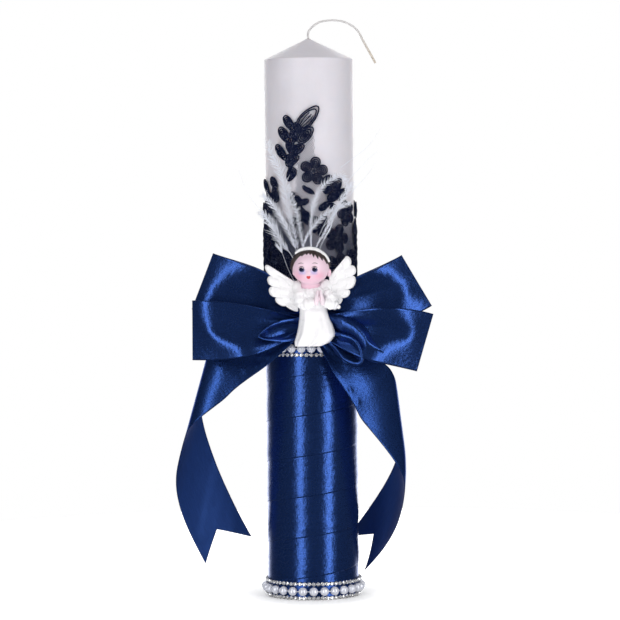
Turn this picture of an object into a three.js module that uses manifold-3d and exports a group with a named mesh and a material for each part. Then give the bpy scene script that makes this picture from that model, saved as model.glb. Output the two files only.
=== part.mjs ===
// A baptism candle: a wax pillar dressed with satin ribbon, lace, pearl trim, a bow, feathers and a small angel.
// Millimetres, +Z up. The origin is the centre of the candle's underside, and the bow faces -Y.

import * as THREE from 'three';
import { mergeVertices } from 'three/addons/utils/BufferGeometryUtils.js';
import Module from 'manifold-3d';

const wasm = await Module();
wasm.setup();

// Driving dimensions

const GAP = 0.3; // clearance between pieces that touch on the real candle

const PILLAR = { radius: 30, shoulder: 365.4, coneRise: 14.6, sides: 64 };

const WICK = {
  diameter: 1.6,
  boreFloor: 6,
  sides: 8,
  step: 4.2,
  // the free wick, from the tip of the cone to its cut end, as rises above the tip and reaches to the right
  route: [
    [0, 0], [-0.1, 1.6], [0.2, 4.1], [2.5, 7], [6.7, 10.1], [11.5, 11.4], [16.4, 11.8], [20.6, 11.4],
    [24.1, 10.7], [27.6, 9.2], [31.2, 6.9], [34.3, 3.7], [36.4, -0.4], [38.4, -4.3], [42.1, -11], [45.6, -17.6],
  ],
};

const RIBBON = { width: 40, thickness: 0.5 };

const WRAP = {
  bottom: 0.8,
  aboveTrim: 6.9, // from the middle of the upper trim to the wrap's top edge
  thickness: 0.2,
  pitch: 27.4,
  layerStep: 0.92, // how much further out a turn's lower edge lies than its upper edge
  stepsPerTurn: 30,
};

const PEARL = { diameter: 6, height: 2.8, link: 0.3 };
const STONE = { diameter: 2.5, height: 1.6, link: 0.4 };

const TRIM_UPPER_RISE = 5; // from the pearls' centres to the upper chain's
const BASE_TRIM = { pearlPitch: 7.1, stonePitch: 3.1, centre: 5.9 };
const MID_TRIM = { pearlPitch: 6.55, stonePitch: 3.3, centre: 170.1 };

const LACE = {
  thickness: 0.4,
  reliefGap: 0.4,
  splitStep: 6,
  reliefThickness: 0.8,
  sideHeight: 80.7,
  columns: 72,
  // scallops that rise over the band's top edge: direction in degrees (0 is the front), rise, half width
  scallops: [
    [-4, 70, 15], [14, 34, 17], [-50, 22, 14], [58, 9, 13], [100, 12, 16], [140, 10, 16], [180, 12, 16],
    [-140, 10, 16], [-100, 12, 16],
  ],
};

// The leaf spray at the front and the flowers round it. Places are the distance round from the front and the
// height above the band's foot. A leaf has its centre, length, half width and turn; a flower has its centre,
// its petals' distance from it and their radius.
const SPRAY = {
  leaves: [
    [[2.4, 148.7], 20, 4.2, 32], [[-12, 144.7], 13, 3, -28], [[-17.5, 135.2], 14, 3.4, -30], [[-2, 134.7], 14, 3.6, 30],
    [[-21, 123.7], 13, 3.4, -32], [[-7.5, 127.7], 13, 3.4, 34], [[-10, 119.7], 13, 3.4, 38], [[-13, 111.7], 17, 3.4, 8],
  ],
  stem: [[-5, 144.7], [-9, 130.7], [-13, 117.7], [-13, 102.7], [-8, 88.7], [-2, 72.7], [0, 58.7]],
  stemHalf: 1.3,
  flowers: [[[2.5, 112.7], 5.2, 3.6], [[19, 105.7], 6, 4.2], [[3, 84.7], 5.6, 4.2], [[23, 79.7], 6, 4.4], [[-22, 84.7], 6, 4.6]],
  links: [[[-13, 108.7], [2.5, 112.7]], [[2.5, 112.7], [19, 105.7]], [[-2, 78.7], [3, 84.7]], [[3, 84.7], [23, 79.7]], [[-6, 84.7], [-22, 84.7]]],
};

const KNOT = { x: -1, aboveTrim: 20.9, width: 6, height: 15, depth: 21, cornerRadius: 3 };

// Places on the bow, the angel and the feathers are [reach to the right, rise] from the middle of the knot,
// and proud is the distance in front of the knot's back.

// The four loops: each has its two outer corners, and its slack is how deep the fold is at its free edge.
const LOOPS = {
  bow_loop_upper_left: {
    top: [-63.9, 43.8], bottom: [-78.6, 6.5], rootRise: 3.6, spread: [[-22, 29], [-20, -4]],
    freeEdge: 'top', proud: 8.6, lean: 1.4, slack: 9, crease: 1.3, pleats: 1.1,
  },
  bow_loop_lower_left: {
    top: [-77.8, 12.7], bottom: [-78.2, -27.2], rootRise: -3.4, spread: [[-22, 6], [-22, -17]],
    freeEdge: 'bottom', proud: 14.6, lean: -1.4, slack: 8, crease: 1.3, pleats: 1.1,
  },
  bow_loop_upper_right: {
    top: [61.9, 41.3], bottom: [81.8, 7.1], rootRise: 3.6, spread: [[22, 22], [22, -4]],
    freeEdge: 'top', proud: 8.6, lean: 1.4, slack: 9, crease: 1.3, pleats: 1.1,
  },
  bow_loop_lower_right: {
    top: [82.4, 2.1], bottom: [71.2, -36.2], rootRise: -3.4, spread: [[22, 6], [20, -20]],
    freeEdge: 'bottom', proud: 14.6, lean: -1.4, slack: 8, crease: 1.3, pleats: 1.1,
  },
};
const LOOP_GRID = { along: 18, across: 6, layerShare: 0.4, gatheredWidth: 6, rootDepth: 0.9 };

// The two short folds in front of the lower loops, where the ribbon turns from a loop into a tail.
const FOLDS = {
  bow_fold_left: {
    top: [-34.5, -9], bottom: [-33, -14], rootRise: -8.4, spread: [[-10, 5], [-12, -6]],
    freeEdge: 'bottom', proud: 19.3, slack: 1.6, swell: [4.5, 0.2, 0.4],
  },
  bow_fold_right: {
    top: [34.5, -17], bottom: [26, -30.5], rootRise: -8.4, spread: [[10, 2], [3, -10]],
    freeEdge: 'bottom', proud: 19.3, slack: 2.4, swell: [5, 0.55, 0.3],
  },
};

// The tails are flat strips bent round slanting cylinders. Angles are in degrees.
const TAILS = {
  bow_tail_left: {
    side: -1, start: [-18.9, -1.3], rootReach: -4, rulings: 15.7, strip: 38.4, bendMiddle: 50, bendLength: 98,
    bend: 138, curl: 57, length: 213.9, swayDrop: 82, sway: 10.5, lean: -0.16,
  },
  bow_tail_right: {
    side: 1, start: [8.8, -8.3], rootReach: 4, rulings: 6.9, strip: 34.4, bendMiddle: 53.7, bendLength: 99.8,
    bend: 136.3, curl: -62, length: 197.6, swayDrop: 87.2, sway: 38, lean: -0.09,
  },
};
const TAIL_FORM = {
  along: 34, across: 4, notch: 16, pinch: 55, rootRise: -7.4, rootProud: 6.2, startProud: 5.6, rootShare: 0.16,
  swayReach: 100, profileStart: -40, profileEnd: 200, profileStep: 0.5,
};

const ANGEL = {
  headCentre: [1, 34.2],
  headRadius: [12.2, 9.4, 11.6],
  headDepth: 6.5,
  earRadius: 2.4,
  hair: 1.1,
  fringeRise: 5.6, // the fringe's lower edge above the head's centre
  bandRadius: 1.5,
  neckRise: 22.2,
  neckRadius: 4.4,
  neckLength: 5,
  // the robe's cross-sections from the hem up: rise, left side, right side, depth
  robe: [
    [-17.4, -9.5, 10.5, 6.5], [-15.5, -10.2, 13.6, 8.5], [-10.4, -8.6, 17.3, 10], [-5, -7.4, 15.6, 9.5],
    [1, -6.6, 12.8, 8.6], [6, -6.4, 12.4, 8], [12, -8.6, 13.6, 9.6], [17.5, -8.4, 12.2, 8.6],
    [21.4, -3.8, 7.2, 6],
  ],
  hands: { centre: [6.7, 14], radius: [2.6, 2.2, 4.6], depth: 11.7 },
  sleeve: 3.2,
  wingDepth: 3.2,
  wingInset: 0.7,
};

// Wing outlines, from the shoulder round to the shoulder again.
const WINGS = {
  angel_wing_left: [
    [-9.9, 30], [-12.5, 30.3], [-18, 32.6], [-23.8, 35.2], [-27.2, 34.4], [-27.3, 31], [-24.7, 28.4],
    [-26.1, 25.6], [-23, 22.6], [-25.4, 19.6], [-24.6, 17], [-21, 15.3], [-20, 12], [-17.4, 9.8],
    [-14.2, 10.4], [-12.2, 7.8], [-9.9, 8.4],
  ],
  angel_wing_right: [
    [14.4, 30], [15.3, 31], [21.8, 35.8], [25.2, 39.2], [27.4, 40], [28.9, 38.2], [29, 35.6], [31.2, 33.8],
    [31.8, 31.2], [29.7, 28.8], [32, 25.6], [30.4, 22.8], [26.7, 20.2], [27.8, 17.6], [25.6, 15],
    [22.3, 14.4], [21.8, 12], [19.6, 9.4], [18.6, 7.2], [16, 6.6], [14.4, 8.4],
  ],
};

// Feathers: each starts on top of the knot, and its widths are at the root, middle and tip.
const FEATHERS = {
  feather_tall: { points: [[-2, 23], [-8, 46], [-15, 71], [-24, 106], [-25.6, 117.5]], widths: [0.9, 4.4, 1.4] },
  feather_barbed: { points: [[-1, 23], [-5, 45], [-9, 69], [-14.5, 88.5]], widths: [0.9, 3.8, 0.9] },
  feather_left_curved: { points: [[-3, 23], [-9, 43], [-19, 66], [-31, 82]], widths: [0.9, 2.6, 0.9] },
  feather_left_low: { points: [[-4, 23], [-12, 37], [-21, 55], [-31, 70.5]], widths: [0.9, 4, 1] },
  feather_left_short: { points: [[-5, 21], [-10.5, 29], [-15.5, 38], [-19, 47]], widths: [0.9, 4, 1] },
  feather_arched: {
    points: [[1.5, 23], [2.5, 49], [6, 77], [15, 90.5], [24, 95], [27, 89]], widths: [0.9, 2.6, 1.2],
  },
  feather_right_low: { points: [[2, 23], [6, 53], [13, 67], [21, 74.5], [29, 76.5]], widths: [0.9, 3, 1] },
  feather_right_tall: { points: [[3.5, 23], [12, 49], [17.5, 63], [23, 78], [30.5, 91]], widths: [0.9, 2.6, 0.9] },
  feather_quill: { points: [[5, 23], [9, 45], [14.5, 58]], widths: [0.8, 1.2, 0.8] },
};
const FEATHER_FORM = { steps: 12, thickness: 0.7, firstProud: 4.2, layer: 1.3 };

// Finishes

const paint = (color, roughness, metalness = 0) =>
  new THREE.MeshStandardMaterial({ color, roughness, metalness });

const FINISH = {
  wax: paint(0xe4e1ea, 0.45),
  wick: paint(0xf2ece2, 0.9),
  satin: paint(0x14296b, 0.35),
  pearl: paint(0xe6e6ee, 0.2),
  stone: paint(0xd8dade, 0.15, 0.8),
  lace: paint(0x12152b, 0.85),
  feather: paint(0xf1f0f6, 0.95),
  resin: paint(0xf6f6f8, 0.3),
  skin: paint(0xf0b9b4, 0.4),
  hair: paint(0x2b2220, 0.6),
};

// Helpers

const smooth = (x) => {
  const t = Math.min(Math.max(x, 0), 1);
  return t * t * (3 - 2 * t);
};
const radians = THREE.MathUtils.degToRad;
const lerp = THREE.MathUtils.lerp;

const closedMesh = (positions, triangles) => {
  const geometry = new THREE.BufferGeometry();
  geometry.setAttribute('position', new THREE.Float32BufferAttribute(positions, 3));
  geometry.setIndex(triangles);
  return geometry;
};

// A geometry class's shape with only positions, and its shared vertices merged.
const welded = (geometry) => {
  const plain = geometry.clone();
  plain.deleteAttribute('normal');
  plain.deleteAttribute('uv');
  return mergeVertices(plain, 1e-4);
};

const toSolid = (geometry) => {
  const plain = welded(geometry);
  return new wasm.Manifold(
    new wasm.Mesh({
      numProp: 3,
      vertProperties: new Float32Array(plain.attributes.position.array),
      triVerts: new Uint32Array(plain.index.array),
    }),
  );
};

const toGeometry = (solid) => {
  const mesh = solid.getMesh();
  return closedMesh(Array.from(mesh.vertProperties), Array.from(mesh.triVerts));
};

const joined = (geometries) => toGeometry(geometries.map(toSolid).reduce((sum, next) => sum.add(next)));

// A closed tube of rings: rows of points, each row a ring, with the first and last rings capped.
const loft = (rings) => {
  const around = rings[0].length;
  const positions = rings.flat(2);
  const triangles = [];
  for (let i = 0; i + 1 < rings.length; i++) {
    for (let j = 0; j < around; j++) {
      const a = i * around + j;
      const b = i * around + ((j + 1) % around);
      triangles.push(a, b, a + around, b, b + around, a + around);
    }
  }
  const last = (rings.length - 1) * around;
  for (let j = 1; j + 1 < around; j++) {
    triangles.push(0, j + 1, j);
    triangles.push(last, last + j, last + j + 1);
  }
  return outward(closedMesh(positions, triangles));
};

// Turns every face over if the closed mesh is inside out.
const outward = (geometry) => {
  const p = geometry.attributes.position;
  const index = Array.from(geometry.index.array);
  const [a, b, c] = [new THREE.Vector3(), new THREE.Vector3(), new THREE.Vector3()];
  let volume = 0;
  for (let k = 0; k < index.length; k += 3) {
    a.fromBufferAttribute(p, index[k]);
    b.fromBufferAttribute(p, index[k + 1]);
    c.fromBufferAttribute(p, index[k + 2]);
    volume += a.dot(b.clone().cross(c));
  }
  if (volume < 0) {
    for (let k = 0; k < index.length; k += 3) {
      [index[k + 1], index[k + 2]] = [index[k + 2], index[k + 1]];
    }
    geometry.setIndex(index);
  }
  return geometry;
};

// A sheet of cloth as a closed solid: the surface is given at whole steps of two parameters, and half the
// thickness is added to each side of it.
const clothSolid = (surface, along, across, thickness) => {
  const width = across + 1;
  const points = [];
  for (let i = 0; i <= along; i++) {
    for (let j = 0; j <= across; j++) points.push(surface(i / along, j / across));
  }
  const at = (i, j) => {
    const row = Math.min(Math.max(i, 0), along);
    return points[row * width + Math.min(Math.max(j, 0), across)];
  };
  const faces = [[], []];
  for (let i = 0; i <= along; i++) {
    for (let j = 0; j <= across; j++) {
      const down = at(i + 1, j).clone().sub(at(i - 1, j));
      const over = at(i, j + 1).clone().sub(at(i, j - 1));
      const normal = down.cross(over).normalize().multiplyScalar(thickness / 2);
      faces[0].push(...at(i, j).clone().add(normal).toArray());
      faces[1].push(...at(i, j).clone().sub(normal).toArray());
    }
  }
  const other = points.length;
  const triangles = [];
  const quad = (a, b, c, d) => triangles.push(a, b, c, a, c, d);
  for (let i = 0; i < along; i++) {
    for (let j = 0; j < across; j++) {
      const a = i * width + j;
      quad(a, a + width, a + width + 1, a + 1);
      quad(other + a, other + a + 1, other + a + width + 1, other + a + width);
    }
    const left = i * width;
    const right = left + across;
    quad(left, other + left, other + left + width, left + width);
    quad(right, right + width, other + right + width, other + right);
  }
  for (let j = 0; j < across; j++) {
    const end = along * width + j;
    quad(j, j + 1, other + j + 1, other + j);
    quad(end, other + end, other + end + 1, end + 1);
  }
  return outward(closedMesh(faces.flat(), triangles));
};

// Wax pillar and wick

const tipZ = PILLAR.shoulder + PILLAR.coneRise;
const boreRadius = WICK.diameter / 2 + GAP;

const pillarGeometry = () => {
  const boreMouth = tipZ - (PILLAR.coneRise * boreRadius) / PILLAR.radius;
  const profile = [
    [0, 0],
    [PILLAR.radius, 0],
    [PILLAR.radius, PILLAR.shoulder],
    [boreRadius, boreMouth],
    [boreRadius, WICK.boreFloor],
    [0, WICK.boreFloor],
  ];
  return new THREE.LatheGeometry(profile.map(([r, z]) => new THREE.Vector2(r, z)), PILLAR.sides).rotateX(Math.PI / 2);
};

const wickCoreGeometry = () => {
  const bottom = WICK.boreFloor + GAP;
  const height = tipZ - GAP / 2 - bottom;
  return new THREE.CylinderGeometry(WICK.diameter / 2, WICK.diameter / 2, height, WICK.sides)
    .rotateX(Math.PI / 2)
    .translate(0, 0, bottom + height / 2);
};

const wickGeometry = () => {
  const points = WICK.route.map(([x, z]) => new THREE.Vector3(x, 0, tipZ + GAP / 2 + z));
  const curve = new THREE.CatmullRomCurve3(points, false, 'centripetal');
  console.log(`wick: ${curve.getLength().toFixed(1)} mm from the cone to its cut end`);
  const section = new THREE.Shape();
  for (let k = 0; k < WICK.sides; k++) {
    const turn = (2 * Math.PI * k) / WICK.sides;
    const [x, y] = [Math.cos(turn), Math.sin(turn)].map((v) => (v * WICK.diameter) / 2);
    k ? section.lineTo(x, y) : section.moveTo(x, y);
  }
  const steps = Math.round(curve.getLength() / WICK.step);
  return new THREE.ExtrudeGeometry(section, { steps, extrudePath: curve });
};

// Ribbon wound round the lower part: one strip in overlapping turns, trimmed level at both ends

const wrapTop = MID_TRIM.centre + WRAP.aboveTrim;
const wrapInner = PILLAR.radius + GAP;
const wrapOuter = wrapInner + WRAP.layerStep + WRAP.thickness;

const wrapGeometry = () => {
  const turns = (wrapTop - WRAP.bottom + RIBBON.width) / WRAP.pitch;
  const steps = Math.ceil(turns * WRAP.stepsPerTurn);
  const start = WRAP.bottom - RIBBON.width;
  const rings = [];
  for (let i = 0; i <= steps; i++) {
    const turn = (2 * Math.PI * i) / WRAP.stepsPerTurn;
    const low = start + (WRAP.pitch * i) / WRAP.stepsPerTurn;
    const corner = (radius, z) => [radius * Math.sin(turn), -radius * Math.cos(turn), z];
    rings.push([
      corner(wrapInner + WRAP.layerStep, low),
      corner(wrapOuter, low),
      corner(wrapInner + WRAP.thickness, low + RIBBON.width),
      corner(wrapInner, low + RIBBON.width),
    ]);
  }
  printTurnGap(rings);
  const level = [
    [PILLAR.radius - 1, WRAP.bottom],
    [wrapOuter + 1, WRAP.bottom],
    [wrapOuter + 1, wrapTop],
    [PILLAR.radius - 1, wrapTop],
    [PILLAR.radius - 1, WRAP.bottom],
  ].map(([r, z]) => new THREE.Vector2(r, z));
  const band = new THREE.LatheGeometry(level, PILLAR.sides).rotateX(Math.PI / 2);
  return toGeometry(toSolid(loft(rings)).intersect(toSolid(outward(welded(band)))));
};

// The least gap from one turn's inner face to the outer face of the turn below, on points of both.
const printTurnGap = (rings) => {
  const share = (ring, face, h) => {
    const [low, high] = face === 'outer' ? [ring[1], ring[2]] : [ring[0], ring[3]];
    return new THREE.Vector3(...low).lerp(new THREE.Vector3(...high), h);
  };
  let least = Infinity;
  for (let i = WRAP.stepsPerTurn; i < 2 * WRAP.stepsPerTurn; i++) {
    for (let h = 0; h <= 1; h += 0.05) {
      const point = share(rings[i], 'inner', h);
      for (let g = 0; g <= 1; g += 0.01) {
        least = Math.min(least, point.distanceTo(share(rings[i - WRAP.stepsPerTurn], 'outer', g)));
      }
    }
  }
  console.log(`wrap ribbon: least gap between turns ${least.toFixed(2)} mm`);
};

// Pearl strings and stone chains: a flat-backed bead chain that swells at each bead and narrows at each link

const trimRadius = wrapOuter + GAP;

const beadRing = (count, z, section, shares, half, height) => {
  const perBead = shares.length;
  const rings = [];
  for (let i = 0; i < count * perBead; i++) {
    const [place, size] = shares[i % perBead];
    const turn = (2 * Math.PI * (Math.floor(i / perBead) + place)) / count;
    rings.push(section.map(([out, up]) => {
      const radius = trimRadius + out * size * height;
      return [radius * Math.sin(turn), -radius * Math.cos(turn), z + up * size * half];
    }));
  }
  const around = section.length;
  const positions = rings.flat(2);
  const triangles = [];
  for (let i = 0; i < rings.length; i++) {
    const next = ((i + 1) % rings.length) * around;
    for (let j = 0; j < around; j++) {
      const k = (j + 1) % around;
      triangles.push(i * around + j, i * around + k, next + j, i * around + k, next + k, next + j);
    }
  }
  return outward(closedMesh(positions, triangles));
};

const copiesRound = (pitch) => Math.round((2 * Math.PI * trimRadius) / pitch);

const pearlString = (trim) => {
  const section = [[0, -1], [0.84, -0.56], [0.84, 0.56], [0, 1]];
  const shares = [[-0.5, PEARL.link], [-0.31, 0.74], [0, 1.05], [0.31, 0.74]];
  const count = copiesRound(trim.pearlPitch);
  return beadRing(count, trim.centre, section, shares, PEARL.diameter / 2.1, PEARL.height);
};

const stoneChain = (trim, rise) => {
  const section = [[0, -1], [1, 0], [0, 1]];
  const shares = [[-0.5, STONE.link], [0, 1]];
  const count = copiesRound(trim.stonePitch);
  return beadRing(count, trim.centre + rise, section, shares, STONE.diameter / 2, STONE.height);
};

// Lace: a band of net with a scalloped top edge, and the corded leaves and flowers that lie on it

const bandFoot = wrapTop + GAP;
const bandInner = PILLAR.radius + GAP;
const bandOuter = bandInner + LACE.thickness;

const bandTop = (degrees) => {
  const rises = LACE.scallops.map(([place, rise, half]) => {
    const away = Math.abs(((degrees - place + 540) % 360) - 180);
    return rise * smooth(1.5 - (1.5 * away) / half / 1.4);
  });
  return bandFoot + LACE.sideHeight + Math.max(...rises);
};

const laceBandGeometry = () => {
  const positions = [];
  const triangles = [];
  const n = LACE.columns;
  for (let i = 0; i < n; i++) {
    const degrees = (360 * i) / n - 180;
    const [x, y] = [Math.sin(radians(degrees)), -Math.cos(radians(degrees))];
    const top = bandTop(degrees);
    for (const [r, z] of [[bandInner, bandFoot], [bandOuter, bandFoot], [bandOuter, top], [bandInner, top]]) {
      positions.push(r * x, r * y, z);
    }
    const next = ((i + 1) % n) * 4;
    for (let j = 0; j < 4; j++) {
      const k = (j + 1) % 4;
      triangles.push(i * 4 + j, i * 4 + k, next + j, i * 4 + k, next + k, next + j);
    }
  }
  return outward(closedMesh(positions, triangles));
};

const reliefInner = bandOuter + LACE.reliefGap;

// The motifs are joined in the flat, where x is the distance round the candle from the front, y the radius
// and z the height, and the joined piece is then wrapped.
const flatPlate = (outline) => loft([0, LACE.reliefThickness].map((y) => outline.map(([s, z]) => [s, y, z])));

const flatStrip = ([s0, z0], [s1, z1], half) => {
  const long = Math.hypot(s1 - s0, z1 - z0);
  const [ns, nz] = [(-(z1 - z0) / long) * half, ((s1 - s0) / long) * half];
  return flatPlate([[s0 + ns, z0 + nz], [s1 + ns, z1 + nz], [s1 - ns, z1 - nz], [s0 - ns, z0 - nz]]);
};

// Splits every edge that reaches further round than the limit, so that the faces can follow the curve.
const splitRound = (positions, triangles, limit) => {
  const middles = new Map();
  const middle = (a, b) => {
    if (Math.abs(positions[a][0] - positions[b][0]) <= limit) return -1;
    const key = a < b ? `${a}_${b}` : `${b}_${a}`;
    if (!middles.has(key)) {
      middles.set(key, positions.length);
      positions.push(positions[a].map((v, k) => (v + positions[b][k]) / 2));
    }
    return middles.get(key);
  };
  const result = [];
  for (const corners of triangles) {
    const marks = corners.map((a, k) => middle(a, corners[(k + 1) % 3]));
    const count = marks.filter((m) => m >= 0).length;
    const first = count === 1 ? marks.findIndex((m) => m >= 0) : (marks.findIndex((m) => m < 0) + 1) % 3;
    const turned = (list) => [0, 1, 2].map((k) => list[(first + k) % 3]);
    const [[a, b, c], [ab, bc, ca]] = count === 3 ? [corners, marks] : [turned(corners), turned(marks)];
    if (count === 0) result.push([a, b, c]);
    if (count === 1) result.push([a, ab, c], [ab, b, c]);
    if (count === 2) result.push([ab, b, bc], [a, ab, bc], [a, bc, c]);
    if (count === 3) result.push([a, ab, ca], [ab, b, bc], [ca, bc, c], [ab, bc, ca]);
  }
  return result.length > triangles.length ? splitRound(positions, result, limit) : result;
};

// The joined flat piece wrapped round the candle.
const wrapped = (flat) => {
  const mesh = welded(flat);
  const p = mesh.attributes.position;
  const positions = Array.from({ length: p.count }, (_, k) => [p.getX(k), p.getY(k), p.getZ(k)]);
  const faces = Array.from({ length: mesh.index.count / 3 }, (_, k) => [0, 1, 2].map((c) => mesh.index.array[3 * k + c]));
  const triangles = splitRound(positions, faces, LACE.splitStep);
  const placed = positions.flatMap(([s, y, rise]) => {
    const turn = s / reliefInner;
    return [(reliefInner + y) * Math.sin(turn), -(reliefInner + y) * Math.cos(turn), bandFoot + rise];
  });
  return outward(closedMesh(placed, triangles.flat()));
};

const leafOutline = ([s, z], lengthwise, half, degrees) => {
  const [dx, dz] = [Math.sin(radians(degrees)), Math.cos(radians(degrees))];
  return [[-1, 0], [-0.55, 0.85], [0.35, 1], [1, 0], [0.35, -1], [-0.55, -0.85]].map(([a, b]) => [
    s + dx * a * (lengthwise / 2) + dz * b * half,
    z + dz * a * (lengthwise / 2) - dx * b * half,
  ]);
};

const disc = ([s, z], radius, sides) => Array.from({ length: sides }, (_, k) => {
  const turn = (2 * Math.PI * k) / sides;
  return [s + radius * Math.sin(turn), z + radius * Math.cos(turn)];
});

const nearestOnStem = ([s, z]) => {
  const from = new THREE.Vector3(s, z, 0);
  const points = SPRAY.stem.map(([a, b]) => new THREE.Vector3(a, b, 0));
  const places = points.slice(1).map((end, k) =>
    new THREE.Line3(points[k], end).closestPointToPoint(from, true, new THREE.Vector3()));
  places.sort((a, b) => a.distanceTo(from) - b.distanceTo(from));
  return [places[0].x, places[0].y];
};

const laceSprayGeometry = () => {
  const plates = SPRAY.leaves.map(([centre, long, half, turn]) => leafOutline(centre, long, half, turn));
  const strips = SPRAY.links.map(([from, to]) => flatStrip(from, to, SPRAY.stemHalf));
  for (let k = 0; k + 1 < SPRAY.stem.length; k++) {
    strips.push(flatStrip(SPRAY.stem[k], SPRAY.stem[k + 1], SPRAY.stemHalf));
    plates.push(disc(SPRAY.stem[k + 1], SPRAY.stemHalf, 6));
  }
  for (const [centre, reach, petal] of SPRAY.flowers) {
    plates.push(disc(centre, petal * 0.8, 5));
    for (const spot of disc(centre, reach, 5)) plates.push(disc(spot, petal, 6));
  }
  for (const [centre] of SPRAY.leaves) {
    const foot = nearestOnStem(centre);
    const apart = Math.hypot(foot[0] - centre[0], foot[1] - centre[1]);
    if (apart > SPRAY.stemHalf) strips.push(flatStrip(centre, foot, SPRAY.stemHalf / 2));
  }
  return wrapped(joined([...plates.map(flatPlate), ...strips]));
};

// Bow

const knotZ = MID_TRIM.centre + KNOT.aboveTrim;
const knotBack = -(bandOuter + GAP);
const knotFront = knotBack - KNOT.depth;
const knotLeft = KNOT.x - KNOT.width / 2;
const knotRight = KNOT.x + KNOT.width / 2;

const fromKnot = ([reach, rise]) => [KNOT.x + reach, knotZ + rise];

const knotGeometry = () => {
  const middle = (knotBack + knotFront) / 2;
  const rings = [[0, 0.85], [0.2, 1], [0.8, 1], [1, 0.85]].map(([share, size]) => {
    const ring = [];
    for (const [dy, dz] of [[1, 1], [-1, 1], [-1, -1], [1, -1]]) {
      const y = middle + dy * (KNOT.depth / 2 - KNOT.cornerRadius);
      const z = knotZ + dz * (KNOT.height / 2 - KNOT.cornerRadius);
      const first = Math.atan2(dz, dy) - Math.PI / 4;
      for (let k = 0; k < 4; k++) {
        const turn = first + (k * Math.PI) / 6;
        const [oy, oz] = [y + Math.cos(turn) * KNOT.cornerRadius, z + Math.sin(turn) * KNOT.cornerRadius];
        ring.push([lerp(knotLeft, knotRight, share), oy, lerp(knotZ, oz, size)]);
      }
    }
    return ring;
  });
  return loft(rings);
};

const bezier = (a, b, c, d, t) => {
  const s = 1 - t;
  return a.map((_, k) => s * s * s * a[k] + 3 * t * s * s * b[k] + 3 * t * t * s * c[k] + t * t * t * d[k]);
};

// A loop of ribbon: out from the knot in front, round a soft fold at the outer end, and back behind.
// The first parameter runs along the ribbon and the second across it, from the bottom edge to the top one.
const loopSurface = (form, gathered) => (u, v) => {
  const { spread, freeEdge, proud, lean = 0, slack, crease = slack, pleats = 0, swell = [0, 0, 1] } = form;
  const side = Math.sign(form.top[0]);
  const [top, bottom] = [form.top, form.bottom].map(fromKnot);
  const across = [top[0] - bottom[0], top[1] - bottom[1]];
  const width = Math.hypot(...across);
  const up = across.map((c) => c / width);
  const out = [up[1] * side, -up[0] * side];
  const root = [side < 0 ? knotLeft - GAP : knotRight + GAP, knotZ + form.rootRise];
  const reach = Math.hypot((top[0] + bottom[0]) / 2 - root[0], (top[1] + bottom[1]) / 2 - root[1]);
  const share = freeEdge === 'bottom' ? 1 - v : v;
  const fold = crease + (slack - crease) * share ** 1.5;
  const flat = 1 - fold / reach;
  const layer = LOOP_GRID.layerShare;
  const turn = ((u - layer) / (1 - 2 * layer)) * Math.PI;
  const inFold = u > layer && u < 1 - layer;
  const along = inFold ? flat + (1 - flat) * Math.sin(turn) : (flat * Math.min(u, 1 - u)) / layer;
  const opening = inFold ? Math.cos(turn) : Math.sign(0.5 - u) * smooth(Math.min(u, 1 - u) / layer) ** 1.5;
  const rootSide = inFold ? 0 : Math.sign(0.5 - u) * (1 - smooth(Math.min(u, 1 - u) / layer));
  const edge = (corner, bulge, sign) => {
    const start = [root[0], root[1] + (sign * gathered) / 2];
    const leave = [start[0] + bulge[0], start[1] + bulge[1]];
    const arrive = [corner[0] - out[0] * reach * 0.4, corner[1] - out[1] * reach * 0.4];
    return bezier(start, leave, arrive, corner, along);
  };
  const low = edge(bottom, spread[1], -1);
  const high = edge(top, spread[0], 1);
  const forward = swell[0] * smooth((along - swell[1]) / swell[2]);
  const pleat = pleats * Math.cos(2 * Math.PI * 1.5 * v) * smooth(along * 6) * (1 - smooth(along * 1.8));
  const leaning = lean * (1 - share) * smooth(along * 3);
  const y = knotBack - proud + leaning - opening * fold - rootSide * LOOP_GRID.rootDepth - forward + pleat;
  return new THREE.Vector3(lerp(low[0], high[0], v), y, lerp(low[1], high[1], v));
};

const loopGeometry = (form) =>
  clothSolid(loopSurface(form, LOOP_GRID.gatheredWidth), LOOP_GRID.along, LOOP_GRID.across, RIBBON.thickness);

const foldGeometry = (form) => clothSolid(loopSurface(form, 3), 12, 3, RIBBON.thickness);

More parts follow.
